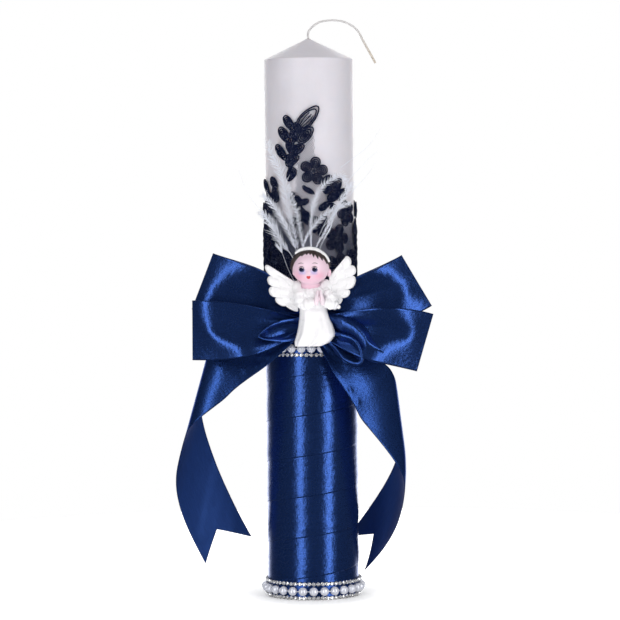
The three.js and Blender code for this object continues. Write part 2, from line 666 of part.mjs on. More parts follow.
// A tail: a flat strip bent round a cylinder whose straight lines slant across it, gathered at the knot and
// cut to a V at the end. The bend's angle grows steadily over its length, and a little more after it.
const tailSurface = (form) => {
  const across = [radians(form.rulings), radians(form.strip)];
  const down = [form.side * Math.sin(across[0]), -Math.cos(across[0])];
  const over = [form.side * Math.cos(across[0]), Math.sin(across[0])];
  const { profileStart: first, profileEnd: last, profileStep: step } = TAIL_FORM;
  const [startX, startZ] = fromKnot(form.start);
  const profile = [];
  let [h, y] = [0, 0];
  const bendAt = (p) => {
    const t = (p - form.bendMiddle) / form.bendLength + 0.5;
    const past = (p - form.bendMiddle - form.bendLength / 2) / (last - form.bendMiddle - form.bendLength / 2);
    return radians(form.bend * Math.min(Math.max(t, 0), 1) + form.curl * Math.max(past, 0));
  };
  for (let p = first; p < last; p += step) {
    profile.push([h, y]);
    h += Math.cos(bendAt(p)) * step;
    y += Math.sin(bendAt(p)) * step;
  }
  const zero = profile[-first / step];
  return (u, v) => {
    const wide = (2 * v - 1) * (RIBBON.width / 2);
    const cut = TAIL_FORM.notch * (1 - Math.abs(2 * v - 1));
    const s = u * (form.length - cut);
    const p = s * Math.sin(across[1]) + wide * Math.cos(across[1]);
    const q = s * Math.cos(across[1]) - wide * Math.sin(across[1]);
    const place = (p - first) / step;
    const [a, b] = [profile[Math.floor(place)], profile[Math.floor(place) + 1]];
    const t = place - Math.floor(place);
    const [H, Y] = [lerp(a[0], b[0], t) - zero[0], lerp(a[1], b[1], t) - zero[1]];
    const z = startZ + down[1] * q + over[1] * H;
    const sway = form.sway * (Math.max(knotZ - form.swayDrop - z, 0) / TAIL_FORM.swayReach) ** 2;
    const x = startX + down[0] * q + over[0] * H - form.side * sway;
    const y = knotBack - TAIL_FORM.startProud + Y + form.lean * Math.max(startZ - z, 0);
    const free = smooth(s / TAIL_FORM.pinch);
    const [rootX, rootZ] = fromKnot([form.rootReach, TAIL_FORM.rootRise + wide * TAIL_FORM.rootShare]);
    const root = [rootX + down[0] * s * 0.5, knotBack - TAIL_FORM.rootProud, rootZ + down[1] * s * 0.5];
    return new THREE.Vector3(...root.map((c, k) => lerp(c, [x, y, z][k], free)));
  };
};

const tailGeometry = (form) => clothSolid(tailSurface(form), TAIL_FORM.along, TAIL_FORM.across, RIBBON.thickness);

// Angel: a flat-backed casting, divided where its colours change

const ball = ([rx, ry, rz], [x, y, z], around = 14, down = 9) =>
  new THREE.SphereGeometry(1, around, down).rotateX(Math.PI / 2).scale(rx, ry, rz).translate(x, y, z);

const slab = (x0, x1, y0, y1, z0, z1) =>
  new THREE.BoxGeometry(x1 - x0, y1 - y0, z1 - z0).translate((x0 + x1) / 2, (y0 + y1) / 2, (z0 + z1) / 2);

const [headX, headZ] = fromKnot(ANGEL.headCentre);
const angelBack = knotFront - GAP;
const headY = angelBack - ANGEL.headDepth;
const headAt = [headX, headY, headZ];
const [handsX, handsZ] = fromKnot(ANGEL.hands.centre);
const handsAt = [handsX, angelBack - ANGEL.hands.depth, handsZ];
const grown = (by) => ANGEL.headRadius.map((r) => r + by);

const inFront = (solid) => {
  const room = slab(-60, 60, angelBack - 60, angelBack, knotZ - 60, knotZ + 60);
  return solid.intersect(toSolid(room.translate(KNOT.x, 0, 0)));
};

const neck = (margin) => new THREE.CylinderGeometry(
  ANGEL.neckRadius - 0.2 + margin, ANGEL.neckRadius + 0.2 + margin, ANGEL.neckLength + 2 * margin, 12,
).rotateX(Math.PI / 2).translate(headX, headY + 1, knotZ + ANGEL.neckRise + 1.2);

const headGeometry = () => {
  let head = toSolid(ball(ANGEL.headRadius, headAt, 16, 10));
  for (const side of [-1, 1]) {
    const ear = [headX + side * (ANGEL.headRadius[0] + 0.2), headY - 0.5, headZ - 3.2];
    head = head.add(toSolid(ball([ANGEL.earRadius, 2, ANGEL.earRadius * 1.2], ear, 8, 6)));
  }
  return toGeometry(inFront(head.add(toSolid(neck(0)))));
};

// The hair covers the top of the head, down to a fringe in front and to the ears at the sides.
const hairGeometry = () => {
  const shell = toSolid(ball(grown(GAP + ANGEL.hair), headAt, 16, 10)).subtract(toSolid(ball(grown(GAP), headAt, 16, 10)));
  const above = toSolid(slab(headX - 30, headX + 30, headY - 30, headY + 30, headZ + ANGEL.fringeRise, headZ + 30));
  return toGeometry(inFront(shell.intersect(above)));
};

const bandGeometry = () => {
  const reach = grown(GAP * 2 + ANGEL.hair + ANGEL.bandRadius);
  const rings = [];
  const steps = 16;
  for (let i = 0; i <= steps; i++) {
    const turn = lerp(radians(-58), radians(58), i / steps);
    const out = [Math.sin(turn), Math.cos(turn)];
    rings.push(Array.from({ length: 6 }, (_, k) => {
      const around = (2 * Math.PI * k) / 6;
      const r = 1 + (Math.cos(around) * ANGEL.bandRadius) / reach[2];
      return [
        headX + out[0] * reach[0] * r,
        headY + Math.sin(around) * ANGEL.bandRadius,
        headZ + out[1] * reach[2] * r,
      ];
    }));
  }
  return loft(rings);
};

const robeGeometry = () => {
  const rings = ANGEL.robe.map(([rise, left, right, depth]) => {
    const [middle, z] = fromKnot([(left + right) / 2, rise]);
    const half = (right - left) / 2;
    return Array.from({ length: 15 }, (_, k) => {
      const turn = (Math.PI * k) / 14;
      return [middle - half * Math.cos(turn), angelBack - depth * Math.sin(turn) ** 0.8, z];
    });
  });
  let robe = toSolid(loft(rings));
  for (const side of [-1, 1]) {
    const elbow = new THREE.Vector3(handsAt[0] + side * 8, angelBack - 8.4, handsAt[2] - 4);
    const shoulder = new THREE.Vector3(headX + 0.8 + side * 8.2, angelBack - 4.6, headZ - 17.2);
    const wrist = new THREE.Vector3(handsAt[0] + side * 3.4, angelBack - 10, handsAt[2] - 2);
    robe = robe.add(toSolid(rod(shoulder, elbow, ANGEL.sleeve, ANGEL.sleeve)));
    robe = robe.add(toSolid(rod(elbow, wrist, ANGEL.sleeve, ANGEL.sleeve - 1)));
  }
  const hands = toSolid(ball(ANGEL.hands.radius.map((r) => r + GAP), handsAt, 12, 8));
  const headRoom = toSolid(ball(grown(GAP), headAt, 16, 10));
  return toGeometry(inFront(robe.subtract(hands).subtract(headRoom).subtract(toSolid(neck(GAP)))));
};

// A tapering rod with rounded joints at both ends.
const rod = (from, to, r0, r1) => {
  const axis = to.clone().sub(from);
  const shaft = new THREE.CylinderGeometry(r1, r0, axis.length(), 7);
  shaft.applyQuaternion(new THREE.Quaternion().setFromUnitVectors(new THREE.Vector3(0, 1, 0), axis.clone().normalize()));
  shaft.translate(...from.clone().add(to).multiplyScalar(0.5).toArray());
  return joined([shaft, ball([r0, r0, r0], from.toArray(), 6, 5)]);
};

const wingGeometry = (outline) => {
  const shape = new THREE.Shape(outline.map((place) => new THREE.Vector2(...fromKnot(place))));
  const plate = new THREE.ExtrudeGeometry(shape, { depth: ANGEL.wingDepth, bevelEnabled: false })
    .rotateX(Math.PI / 2)
    .translate(0, angelBack - ANGEL.wingInset, 0);
  return toGeometry(toSolid(plate).subtract(toSolid(ball(grown(GAP), headAt, 16, 10))));
};

// Feathers

const featherGeometry = (form, layer) => {
  const depth = knotBack - FEATHER_FORM.firstProud - FEATHER_FORM.layer * layer;
  const places = [[0, KNOT.height / 2 + GAP], ...form.points].map(fromKnot);
  const path = new THREE.CatmullRomCurve3(places.map(([x, z]) => new THREE.Vector3(x, depth, z)));
  const [thin, wide, tip] = form.widths;
  const rings = [];
  for (let i = 0; i <= FEATHER_FORM.steps; i++) {
    const t = i / FEATHER_FORM.steps;
    const width = t < 0.55 ? lerp(thin, wide, smooth(t / 0.55)) : lerp(wide, tip, smooth((t - 0.55) / 0.45));
    const centre = path.getPointAt(t);
    const along = path.getTangentAt(t);
    const [sx, sz] = [along.z * width * 0.5, -along.x * width * 0.5];
    const half = FEATHER_FORM.thickness / 2;
    rings.push([
      [centre.x - sx, centre.y, centre.z - sz],
      [centre.x, centre.y - half, centre.z],
      [centre.x + sx, centre.y, centre.z + sz],
      [centre.x, centre.y + half, centre.z],
    ]);
  }
  return loft(rings);
};

// Assembly

const group = new THREE.Group();

const add = (name, geometry, material) => {
  const mesh = new THREE.Mesh(geometry, material);
  mesh.name = name;
  group.add(mesh);
};

add('wax_pillar', pillarGeometry(), FINISH.wax);
add('wick_core', wickCoreGeometry(), FINISH.wick);
add('wick', wickGeometry(), FINISH.wick);
add('wrap_ribbon', wrapGeometry(), FINISH.satin);
for (const [place, trim] of Object.entries({ base: BASE_TRIM, mid: MID_TRIM })) {
  add(`${place}_pearl_string`, pearlString(trim), FINISH.pearl);
  add(`${place}_stone_chain_lower`, stoneChain(trim, -(PEARL.diameter + STONE.diameter) / 2 - GAP), FINISH.stone);
  add(`${place}_stone_chain_upper`, stoneChain(trim, TRIM_UPPER_RISE), FINISH.stone);
}
add('lace_band', laceBandGeometry(), FINISH.lace);
add('lace_spray', laceSprayGeometry(), FINISH.lace);
add('bow_knot', knotGeometry(), FINISH.satin);
for (const [name, form] of Object.entries(LOOPS)) add(name, loopGeometry(form), FINISH.satin);
for (const [name, form] of Object.entries(FOLDS)) add(name, foldGeometry(form), FINISH.satin);
for (const [name, form] of Object.entries(TAILS)) add(name, tailGeometry(form), FINISH.satin);
add('angel_robe', robeGeometry(), FINISH.resin);
for (const [name, outline] of Object.entries(WINGS)) add(name, wingGeometry(outline), FINISH.resin);
add('angel_head', headGeometry(), FINISH.skin);
add('angel_hair', hairGeometry(), FINISH.hair);
add('angel_headband', bandGeometry(), FINISH.resin);
add('angel_hands', toGeometry(toSolid(ball(ANGEL.hands.radius, handsAt, 12, 8))), FINISH.skin);
Object.entries(FEATHERS).forEach(([name, form], layer) => add(name, featherGeometry(form, layer), FINISH.feather));

export default group;
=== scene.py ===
"""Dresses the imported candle: wax, wound ribbon, pearl trims, lace, a bow, feathers and an angel.

Every piece is a surface worked out in millimetres and put into its mesh in metres. The origin is the
middle of the candle's underside, +Z is up and the bow faces -Y.
"""

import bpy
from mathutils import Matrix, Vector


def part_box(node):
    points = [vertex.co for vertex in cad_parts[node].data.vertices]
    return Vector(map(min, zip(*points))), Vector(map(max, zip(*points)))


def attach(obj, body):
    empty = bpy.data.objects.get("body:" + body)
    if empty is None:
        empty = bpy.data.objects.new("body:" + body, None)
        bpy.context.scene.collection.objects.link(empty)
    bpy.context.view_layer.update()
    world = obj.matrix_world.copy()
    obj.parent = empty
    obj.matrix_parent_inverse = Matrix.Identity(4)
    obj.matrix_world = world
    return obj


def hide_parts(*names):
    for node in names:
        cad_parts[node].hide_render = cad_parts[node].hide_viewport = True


bl_info = {
    "name": "Dressed Baptism Candle",
    "version": (1, 0, 0),
    "blender": (4, 5, 0),
    "location": "View3D > Sidebar > Candle",
    "description": "Builds the looks of a ribbon-dressed baptism candle around its packed model",
    "category": "Add Mesh",
}

import bpy
import numpy as np
from mathutils import Matrix, Vector

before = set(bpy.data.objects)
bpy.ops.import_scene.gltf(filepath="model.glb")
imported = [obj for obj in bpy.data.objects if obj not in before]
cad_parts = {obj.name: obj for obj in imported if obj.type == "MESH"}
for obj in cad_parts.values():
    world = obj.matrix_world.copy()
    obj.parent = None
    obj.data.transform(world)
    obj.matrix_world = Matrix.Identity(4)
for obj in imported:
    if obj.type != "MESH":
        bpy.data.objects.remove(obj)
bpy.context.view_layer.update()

MM = 0.001
TURN = 2 * np.pi
FRONT = np.array([0.0, -1.0, 0.0])
UP = np.array([0.0, 0.0, 1.0])
POLE = 0.02  # How near to its axis a turned profile ends, in millimetres.
PILLAR_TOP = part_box("wax_pillar")[1]

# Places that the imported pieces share, in millimetres, but for the bow's height that the lights are aimed
# at, in metres.
GAP = 0.3
PILLAR_RADIUS = 30.0
WRAP_FOOT = 0.8
WRAP_TOP = 177.0
WRAP_INNER = PILLAR_RADIUS + GAP
WRAP_STEP = 0.92
WRAP_SHEET = 0.2
TRIM_RADIUS = 31.72
BAND_FOOT = WRAP_TOP + GAP
KNOT = np.array([-1.0, 191.0])
BOW_HEIGHT = 0.2
KNOT_BACK = -31.0
KNOT_DEPTH = 21.0
KNOT_RISE = 7.5
FOLD_FRONT = -51.2
ANGEL_BACK = KNOT_BACK - KNOT_DEPTH - GAP
HEAD = np.array([0.0, ANGEL_BACK - 6.5, 225.2])
HEAD_RADII = np.array([12.2, 9.4, 11.6])
HANDS_X = 5.6

# The free wick, as rises above the cone's tip and reaches to the right.
WICK_ROUTE = [
    (0, 0), (-0.1, 1.6), (0.2, 4.1), (2.5, 7), (6.7, 10.1), (11.5, 11.4), (16.4, 11.8), (20.6, 11.4),
    (24.1, 10.7), (27.6, 9.2), (31.2, 6.9), (34.3, 3.7), (36.4, -0.4), (38.4, -4.3), (42.1, -11),
    (45.6, -17.6),
]
WICK_LENGTH = 0.0675

# Loops of the bow. Top and bottom are the outer corners, as reaches from the middle of the knot; root is
# how far above it the loop begins, and spread how its upper and its lower edge set out. Free is the edge
# away from the other loop. Proud is how far in front of the knot's back the outer crease lies, settle how
# much less at the inner edge, and back how deep the back layer lies at the inner and the free edge. Lean is
# the front's slope at the crease, at the inner and the free edge. The slope falls through tilt at a
# distance in from the crease: turn lists shares of the way to the free edge, that distance there, and over
# how many millimetres the turn takes place. Phase and seed vary the pleats and the relief.
LOOPS = {
    "bow_loop_upper_left": dict(
        top=(-63.9, 43.8), bottom=(-78.6, 6.5), root=3.6, spread=((-22, 29), (-20, -4)), free="top",
        proud=8.6, settle=1.4, back=(1.3, 9),
        turn=((0, 0.25, 0.5, 0.75, 1), (7, 7.2, 7.5, 10.5, 16), (3.4, 3.6, 4.5, 8, 13)), tilt=0.277,
        lean=(0.62, 0.55), phase=0.4, seed=11,
    ),
    "bow_loop_lower_left": dict(
        top=(-77.8, 12.7), bottom=(-78.2, -27.2), root=-3.4, spread=((-22, 6), (-22, -17)), free="bottom",
        proud=14.6, settle=-1.4, back=(1.3, 8), tilt=0.277, lean=(0.62, 0.42),
        turn=((0, 0.25, 0.5, 0.63, 0.75, 0.87, 1), (8.2, 8.7, 11, 16.5, 23, 30, 36),
              (6, 5, 3.6, 5, 9, 14, 18)),
        phase=1.9, seed=12,
    ),
    "bow_loop_upper_right": dict(
        top=(61.9, 41.3), bottom=(81.8, 7.1), root=3.6, spread=((22, 22), (22, -4)), free="top",
        proud=8.6, settle=1.4, back=(1.3, 9), tilt=0.364, lean=(0.6, 0.62),
        turn=((0, 0.15, 0.37, 0.6, 0.8, 1), (11, 11, 10.9, 8.8, 11, 15), (16, 12, 5, 4, 6, 10)),
        phase=2.6, seed=13,
    ),
    "bow_loop_lower_right": dict(
        top=(82.4, 2.1), bottom=(71.2, -36.2), root=-3.4, spread=((22, 6), (20, -20)), free="bottom",
        proud=14.6, settle=-1.4, back=(1.3, 8), tilt=0.364, lean=(0.62, 0.5),
        turn=((0, 0.2, 0.36, 0.5, 0.62, 0.8, 1), (18, 14.7, 10.2, 11.1, 15.4, 22.3, 32),
              (14, 7, 4.5, 4.5, 7, 12, 16)),
        phase=4.1, seed=14,
    ),
}
# Two short folds in front of the loops: a leaf between its upper and lower edge on the left, and on the
# right a drop that a folded ribbon runs round, with a rounded ridge outside it. All are places across and
# heights.
LEAF_TOP = [(-5, 193), (-9.3, 191.6), (-20.3, 190.1), (-28.6, 186.3), (-35.3, 180.5)]
LEAF_FOOT = [(-5, 180), (-10, 177), (-17.4, 175.5), (-24, 176.2), (-31, 177.6), (-35.3, 179.6)]
DROP = [
    (5, 187), (15, 181.4), (23, 179.2), (27.5, 177.5), (31.2, 173), (32.8, 167), (32.8, 162.6),
    (30.4, 161.3), (25, 162.6), (20, 165.8), (15.6, 170.8), (11.5, 176), (5, 184),
]
RIDGE = [
    (2, 191), (14, 190.4), (23.1, 188.2), (28.9, 184.9), (34, 179.8), (37.7, 174.8), (42.8, 171.1),
    (48, 169),
]
# Tails: flat strips bent round straight lines. Rulings is how far those lines slant outward, and strip how
# far the strip slants from them; turns lists distances across the lines and the bend's angle there. Start
# and root are where the tail sets out and is held, from the middle of the knot, and front is how far before
# the knot's back it sets out. From sway_drop under the knot down it is drawn in by sway, and it leans
# forward by lean as it falls. Draw spreads the inner edge. Crumple is a place along and across, its spreads
# and its height; dents are places along and across.
TAILS = {
    "bow_tail_left": dict(
        side=-1, start=(-18.9, -1.3), root=-8, rulings=15.7, strip=38.4, length=213.9,
        turns=((-20, 0, 20, 27, 32, 37, 41, 45, 48, 65, 70, 80, 90, 100, 110, 130, 150),
               (-5, -3, 0, 8, 16, 26, 52, 80, 88, 90, 97, 111, 125, 139, 144, 155, 167)),
        front=2.8, sway_drop=82, sway=10.5, lean=-0.16, seed=21, draw=4.5, crumple=(34, -11, 10, 7, 0.3),
        dents=(),
    ),
    "bow_tail_right": dict(
        side=1, start=(8.8, -8.3), root=3, rulings=6.9, strip=34.4, length=197.6,
        turns=((-20, 0, 10, 18, 24, 32, 40, 46, 50, 53, 70, 80, 90, 100, 110, 120, 130, 150),
               (10, 15, 19, 21.5, 24, 29, 36, 46, 64, 85, 91, 104, 118, 131, 132, 126, 119, 106)),
        front=7.2, sway_drop=87.2, sway=38, lean=-0.09, seed=22, draw=5.5, crumple=(30, 2, 10, 8, 0.15),
        dents=((43, -15.6), (51, -16)),
    ),
}
TAIL_NOTCH = 16

# Lace motifs as seen from the front, in places across and heights. Leaves run from one end to the other,
# with their width; flowers are middle, reach of the petals' middles, half a petal, and the first petal's
# bearing.
SPRAY_LEAVES = [
    (-16.9, 326.4, -9.6, 315.2, 6.0), (-20.4, 318.6, -12.4, 307.4, 6.8),
    (-22.6, 307.0, -15.2, 296.2, 6.2), (-8.0, 308.0, 2.8, 318.4, 8.2), (-13.6, 300.8, -3.0, 306.4, 6.8),
    (-16.2, 293.0, -6.8, 299.2, 6.4), (-10.2, 291.6, -14.6, 282.2, 6.6), (-12.4, 316.4, -8.2, 308.6, 4.6),
    (-10.2, 321.6, -5.0, 314.0, 5.2), (-14.8, 309.4, -12.2, 300.2, 4.6),
    (-14.6, 300.6, -12.0, 291.0, 5.0), (-3.4, 277.6, 3.4, 273.6, 3.4), (-4.6, 279.4, -1.0, 274.6, 2.8),
    (-12.0, 275.6, -9.6, 264.0, 4.4), (-6.2, 267.4, -0.4, 269.6, 4.4), (-7.4, 259.0, -1.4, 256.0, 5.4),
    (-6.0, 265.0, -4.2, 254.6, 5.0), (9.0, 279.6, 15.0, 286.0, 6.4), (14.0, 275.0, 21.6, 283.4, 8.2),
    (17.0, 270.4, 25.2, 276.4, 6.8), (8.4, 275.8, 15.2, 277.0, 5.6), (11.5, 270.4, 19.4, 272.0, 6.0),
    (-9.8, 273.0, -6.4, 262.5, 6.2), (-4.8, 262.5, 0.6, 252.5, 6.4), (-10.0, 259.0, -5.4, 249.0, 6.0),
    (6.0, 262.6, 13.2, 268.4, 4.6), (12.4, 266.6, 19.0, 263.2, 4.4), (-31.0, 283.6, -27.4, 274.0, 6.0),
    (-26.4, 285.2, -21.8, 277.0, 6.0), (-29.4, 274.4, -22.6, 268.6, 6.4),
]
OPEN_LEAF = (-8.0, 316.6, 6.6, 332.4, 9.8)
SPRAY_STEM = [(-7.4, 319), (-10, 311), (-12.8, 301), (-13.2, 292), (-14.4, 283)]
SPRAY_FLOWERS = [
    (2.9, 289.0, 5.6, 3.7, 0.2), (25.0, 260.4, 5.2, 3.6, 0.9), (7.0, 252.4, 4.4, 2.9, 0.5),
    (18.4, 243.4, 5.8, 3.8, 0.3), (-27.6, 262.0, 5.4, 3.8, 0.6),
]

# Scallops of the net's top edge: bearing in degrees, rise and half width in degrees.
SCALLOPS = [
    (-4, 70, 15), (14, 34, 17), (-50, 22, 14), (58, 9, 13), (100, 12, 16), (140, 10, 16), (180, 12, 16),
    (-140, 10, 16), (-100, 12, 16),
]
# The lace is measured round at one radius and seen at another; the net and the cords lie on their own.
LACE_RADIUS = 31.2
LACE_ROUND = TURN * LACE_RADIUS
SEEN_RADIUS = 31.6
NET_RADIUS = 30.42
CORD_BED = 30.9
BACK_SEAM = 98

# Feathers, the rearmost first: points from the root, reach of the barbs at root, middle and tip, the angle
# that they lie at from the quill, and a barb's width and spacing.
FEATHERS = [
    dict(
        node="feather_tall",
        points=[(-8.2, 236.3), (-13.3, 259.7), (-16.5, 276.4), (-19.7, 289.8), (-24.9, 299.8),
                (-27.5, 308.5)],
        reach=(2.2, 4.2, 3.8), lay=48, barb=(0.42, 1.15), seed=31,
    ),
    dict(
        node="feather_barbed", points=[(-4.9, 237.6), (-8.6, 259.7), (-14.4, 279.7)],
        reach=(1.6, 3.2, 2.2), lay=72, barb=(0.5, 1.3), seed=32,
    ),
    dict(
        node="feather_left_curved",
        points=[(-9.5, 236.3), (-16.7, 253.1), (-23.3, 264.5), (-31.2, 273.2)], reach=(1.8, 3.0, 2.4),
        lay=38, barb=(0.36, 1.0), seed=33,
    ),
    dict(
        node="feather_left_low", points=[(-11.6, 231.0), (-20.2, 243.1), (-26.7, 255.2), (-32.6, 261.9)],
        reach=(2.4, 4.3, 2.8), lay=38, barb=(0.38, 1.0), seed=34,
    ),
    dict(
        node="feather_left_short", points=[(-13.7, 221.0), (-18.3, 233.1), (-20.2, 237.8)],
        reach=(1.2, 2.4, 1.4), lay=24, barb=(0.4, 0.6), seed=35,
    ),
    dict(
        node="feather_arched",
        points=[(0.5, 239.6), (0.7, 256.3), (2.8, 267.6), (8.2, 278.2), (15.0, 283.4), (21.7, 286.0),
                (24.9, 277.3)],
        reach=(0.9, 2.7, 2.8), lay=54, barb=(0.42, 1.0), seed=36,
    ),
    dict(
        node="feather_right_low",
        points=[(-4.8, 238.3), (1.3, 250.9), (8.0, 258.2), (16.8, 264.1), (26.8, 267.3)],
        reach=(1.0, 2.8, 2.5), lay=46, barb=(0.4, 1.0), seed=37,
    ),
    dict(
        node="feather_right_tall",
        points=[(3.8, 237.5), (9.9, 248.2), (15.4, 259.4), (20.1, 267.4), (28.3, 280.6)],
        reach=(0.8, 2.3, 2.4), lay=44, barb=(0.4, 1.0), seed=38,
    ),
    dict(
        node="feather_quill", points=[(6.5, 237.5), (13.3, 250.8), (15.2, 256.4)], reach=(0.2, 0.8, 0.5),
        lay=20, barb=(0.3, 0.8), seed=39,
    ),
]
# Single long barbs that stand away from the feathers.
STRANDS = [
    [(20.3, 290.7), (28.4, 296.6), (36.4, 302.5), (40.5, 306.5), (47.2, 316.4)],
    [(24.9, 281.0), (29.6, 286.6), (35.0, 291.9), (40.4, 297.8), (45.1, 301.1)],
    [(26.0, 272.0), (30.9, 277.9), (35.6, 282.6), (40.3, 288.5), (44.4, 295.1)],
    [(-26.0, 253.0), (-31.9, 261.3), (-35.9, 266.6), (-40.5, 274.0), (-44.4, 282.0), (-47.0, 290.0)],
    [(-14.7, 253.1), (-23.2, 266.5), (-30.5, 278.6)],
    [(-12.0, 248.0), (-22.0, 262.5), (-31.6, 270.5)],
    [(9.0, 252.0), (18.5, 262.0), (29.0, 269.6)],
    [(6.0, 246.0), (14.0, 262.0), (24.0, 276.0), (31.0, 284.0)],
]

# Wings: the inner edge, and the outer edge as valleys and tips from the shoulder over each lobe down.
WINGS = {
    "angel_wing_left": dict(
        inner=[(-9.6, 215.2), (-9.2, 207.0), (-8.4, 197.0)],
        valleys=[(-25.6, 225.4), (-26.5, 219.7), (-24.9, 213.1), (-23.0, 205.7), (-16.4, 200.4),
                 (-8.4, 196.3)],
        tips=[(-30.2, 225.8), (-28.6, 216.0), (-27.6, 208.8), (-21.6, 200.9), (-13.4, 197.2)],
    ),
    "angel_wing_right": dict(
        inner=[(12.2, 219.2), (12.8, 208.0), (14.6, 197.8)],
        valleys=[(22.6, 230.6), (26.7, 226.2), (27.4, 219.5), (24.5, 210.6), (20.4, 205.0), (18.2, 200.9),
                 (14.9, 197.0)],
        tips=[(25.8, 231.6), (30.2, 223.0), (29.6, 214.4), (25.4, 206.4), (20.6, 202.0), (17.8, 198.0)],
    ),
}
# The hairline: longitudes round the head from the left ear to the right one, and heights.
HAIRLINE = [
    (-1.72, 222.0), (-1.35, 223.6), (-1.15, 227.4), (-0.98, 230.6), (-0.8, 233.2), (-0.62, 232.6),
    (-0.45, 234.6), (-0.3, 233.4), (-0.16, 235.0), (-0.02, 233.4), (0.12, 234.6), (0.22, 231.6),
    (0.36, 234.0), (0.48, 230.6), (0.62, 233.0), (0.76, 229.6), (0.92, 231.6), (1.08, 227.4), (1.3, 227.8),
    (1.72, 223.6),
]
# The robe's cross-sections from the hem up: height, left side, right side, depth.
ROBE = [
    (172.8, -10.9, 5.0, 4.6), (173.6, -10.5, 9.5, 6.5), (175.5, -11.2, 13.0, 8.5), (180.6, -9.6, 16.3, 10),
    (186, -8.4, 14.8, 9.6), (192, -7.6, 12.0, 8.6), (197, -7.4, 10.6, 8.0), (200, -8.4, 11.2, 8.6),
    (203, -9.4, 12.4, 9.4), (208.5, -9.4, 11.6, 8.8), (212.4, -5.2, 6.6, 6.4), (213.6, -3.4, 4.4, 5.0),
]


# Settings

def length(name, description, millimetres):
    """A length setting, from its default in millimetres."""
    return bpy.props.FloatProperty(
        name=name, description=description, default=millimetres * MM, unit="LENGTH", precision=5
    )


def number(name, description, default):
    """A setting that is a plain number."""
    return bpy.props.FloatProperty(name=name, description=description, default=default)


def colour(name, description, default):
    """A colour setting, as linear red, green and blue."""
    return bpy.props.FloatVectorProperty(
        name=name, description=description, default=default, subtype="COLOR", size=3, min=0, max=1
    )


class CandleWaxSettings(bpy.types.PropertyGroup):
    """Sizes and colours of the wax and the wick"""

    radius: length("Pillar radius", "Radius of the wax pillar", PILLAR_TOP.x / MM)
    height: length("Height", "Height of the cone's tip above the table", PILLAR_TOP.z / MM)
    cone_rise: length("Cone rise", "Height of the cone above the shoulder", 14.6)
    edge: length("Shoulder rounding", "Radius of the soft edge at the shoulder and the foot", 0.9)
    wax: colour("Wax", "Colour of the wax", (0.72, 0.695, 0.75))
    wick_diameter: length("Wick diameter", "Diameter of the braided wick", 1.6)
    wick: colour("Wick", "Colour of the cotton wick", (0.7, 0.68, 0.68))
    wick_end: colour("Wick end", "Colour of the waxed cut end", (0.62, 0.55, 0.47))


class CandleRibbonSettings(bpy.types.PropertyGroup):
    """Sizes and colours of the satin ribbon"""

    width: length("Width", "Width of the satin ribbon", 40)
    thickness: length("Thickness", "Thickness of the ribbon", 0.28)
    selvedge: length("Selvedge", "Width of the firm edge of the ribbon", 0.7)
    pitch: length("Pitch", "Rise of the wound ribbon in one turn", 27.4)
    satin: colour("Satin", "Colour of the glossy side", (0.026, 0.07, 0.266))
    reverse: colour("Reverse", "Colour of the dull side", (0.019, 0.052, 0.2))
    gather: length("Gather", "Depth of the pleats where the ribbon is drawn in at the knot", 1.7)


class CandleTrimSettings(bpy.types.PropertyGroup):
    """Sizes and colours of the pearls and stones"""

    pearl_diameter: length("Pearl diameter", "Diameter of the pearls", 6)
    stone_diameter: length("Stone diameter", "Diameter of the cut stones in their cups", 2.5)
    pearl: colour("Pearl", "Colour of the pearls", (0.82, 0.84, 0.94))
    metal: colour("Metal", "Colour of the stones' cups", (0.8, 0.79, 0.77))


class CandleLaceSettings(bpy.types.PropertyGroup):
    """Sizes and colours of the lace"""

    cord: length("Cord", "Diameter of the cord that the motifs are sewn with", 1.05)
    net_pitch: length("Net pitch", "Distance between the threads of the net", 1.15)
    net_thread: length("Net thread", "Width of a thread of the net", 0.18)
    thread: colour("Thread", "Colour of the cord", (0.004, 0.007, 0.028))
    net: colour("Net", "Colour of the net", (0.024, 0.034, 0.075))


class CandleAngelSettings(bpy.types.PropertyGroup):
    """Colours of the angel's resin and paint"""

    resin: colour("Resin", "Colour of the robe and the wings", (0.89, 0.88, 0.9))
    skin: colour("Skin", "Colour of the painted skin", (0.8, 0.6, 0.7))
    blush: colour("Blush", "Colour of the painted cheeks", (0.8, 0.36, 0.5))
    hair: colour("Hair", "Colour of the painted hair", (0.035, 0.022, 0.02))
    lips: colour("Lips", "Colour of the painted mouth", (0.62, 0.05, 0.06))
    eye: colour("Eye", "Colour of the painted eyes", (0.006, 0.008, 0.03))
    eye_shade: colour("Eye shade", "Colour painted under the eyes", (0.3, 0.33, 0.66))


class CandleFeatherSettings(bpy.types.PropertyGroup):
    """Fullness and colour of the feathers"""

    spacing: number("Barb spacing", "Factor on the distance between barbs along the quill", 1.0)
    thickness: number("Barb thickness", "Factor on the width of the barbs", 1.0)
    feather: colour("Feather", "Colour of the feathers", (0.84, 0.87, 0.99))


class CandleStageSettings(bpy.types.PropertyGroup):
    """The camera's lens and the strength of the lights"""

    lens: number("Lens", "Focal length of the camera in millimetres", 156.77)
    key: number("Key light", "Radiance of the two tall soft boxes", 4.35)
    fill: number("Fill light", "Radiance of the soft front light", 0.7)
    rear: number("Rear lights", "Radiance of the two soft boxes behind", 1.6)


# Arrays and meshes

def smooth(x):
    """Nothing below 0, 1 above 1, and a level start and end between."""
    x = np.clip(x, 0, 1)
    return x * x * (3 - 2 * x)


def unit(v):
    """Vectors divided by their own length."""
    return v / np.maximum(np.linalg.norm(v, axis=-1, keepdims=True), 1e-12)


def mixed(a, b, share):
    """The given share of the way from a to b."""
    return a + (b - a) * share


def places(x, y, z):
    """Points from their three coordinates, each spread over the shape of all three."""
    return np.stack(np.broadcast_arrays(x, y, z), -1)


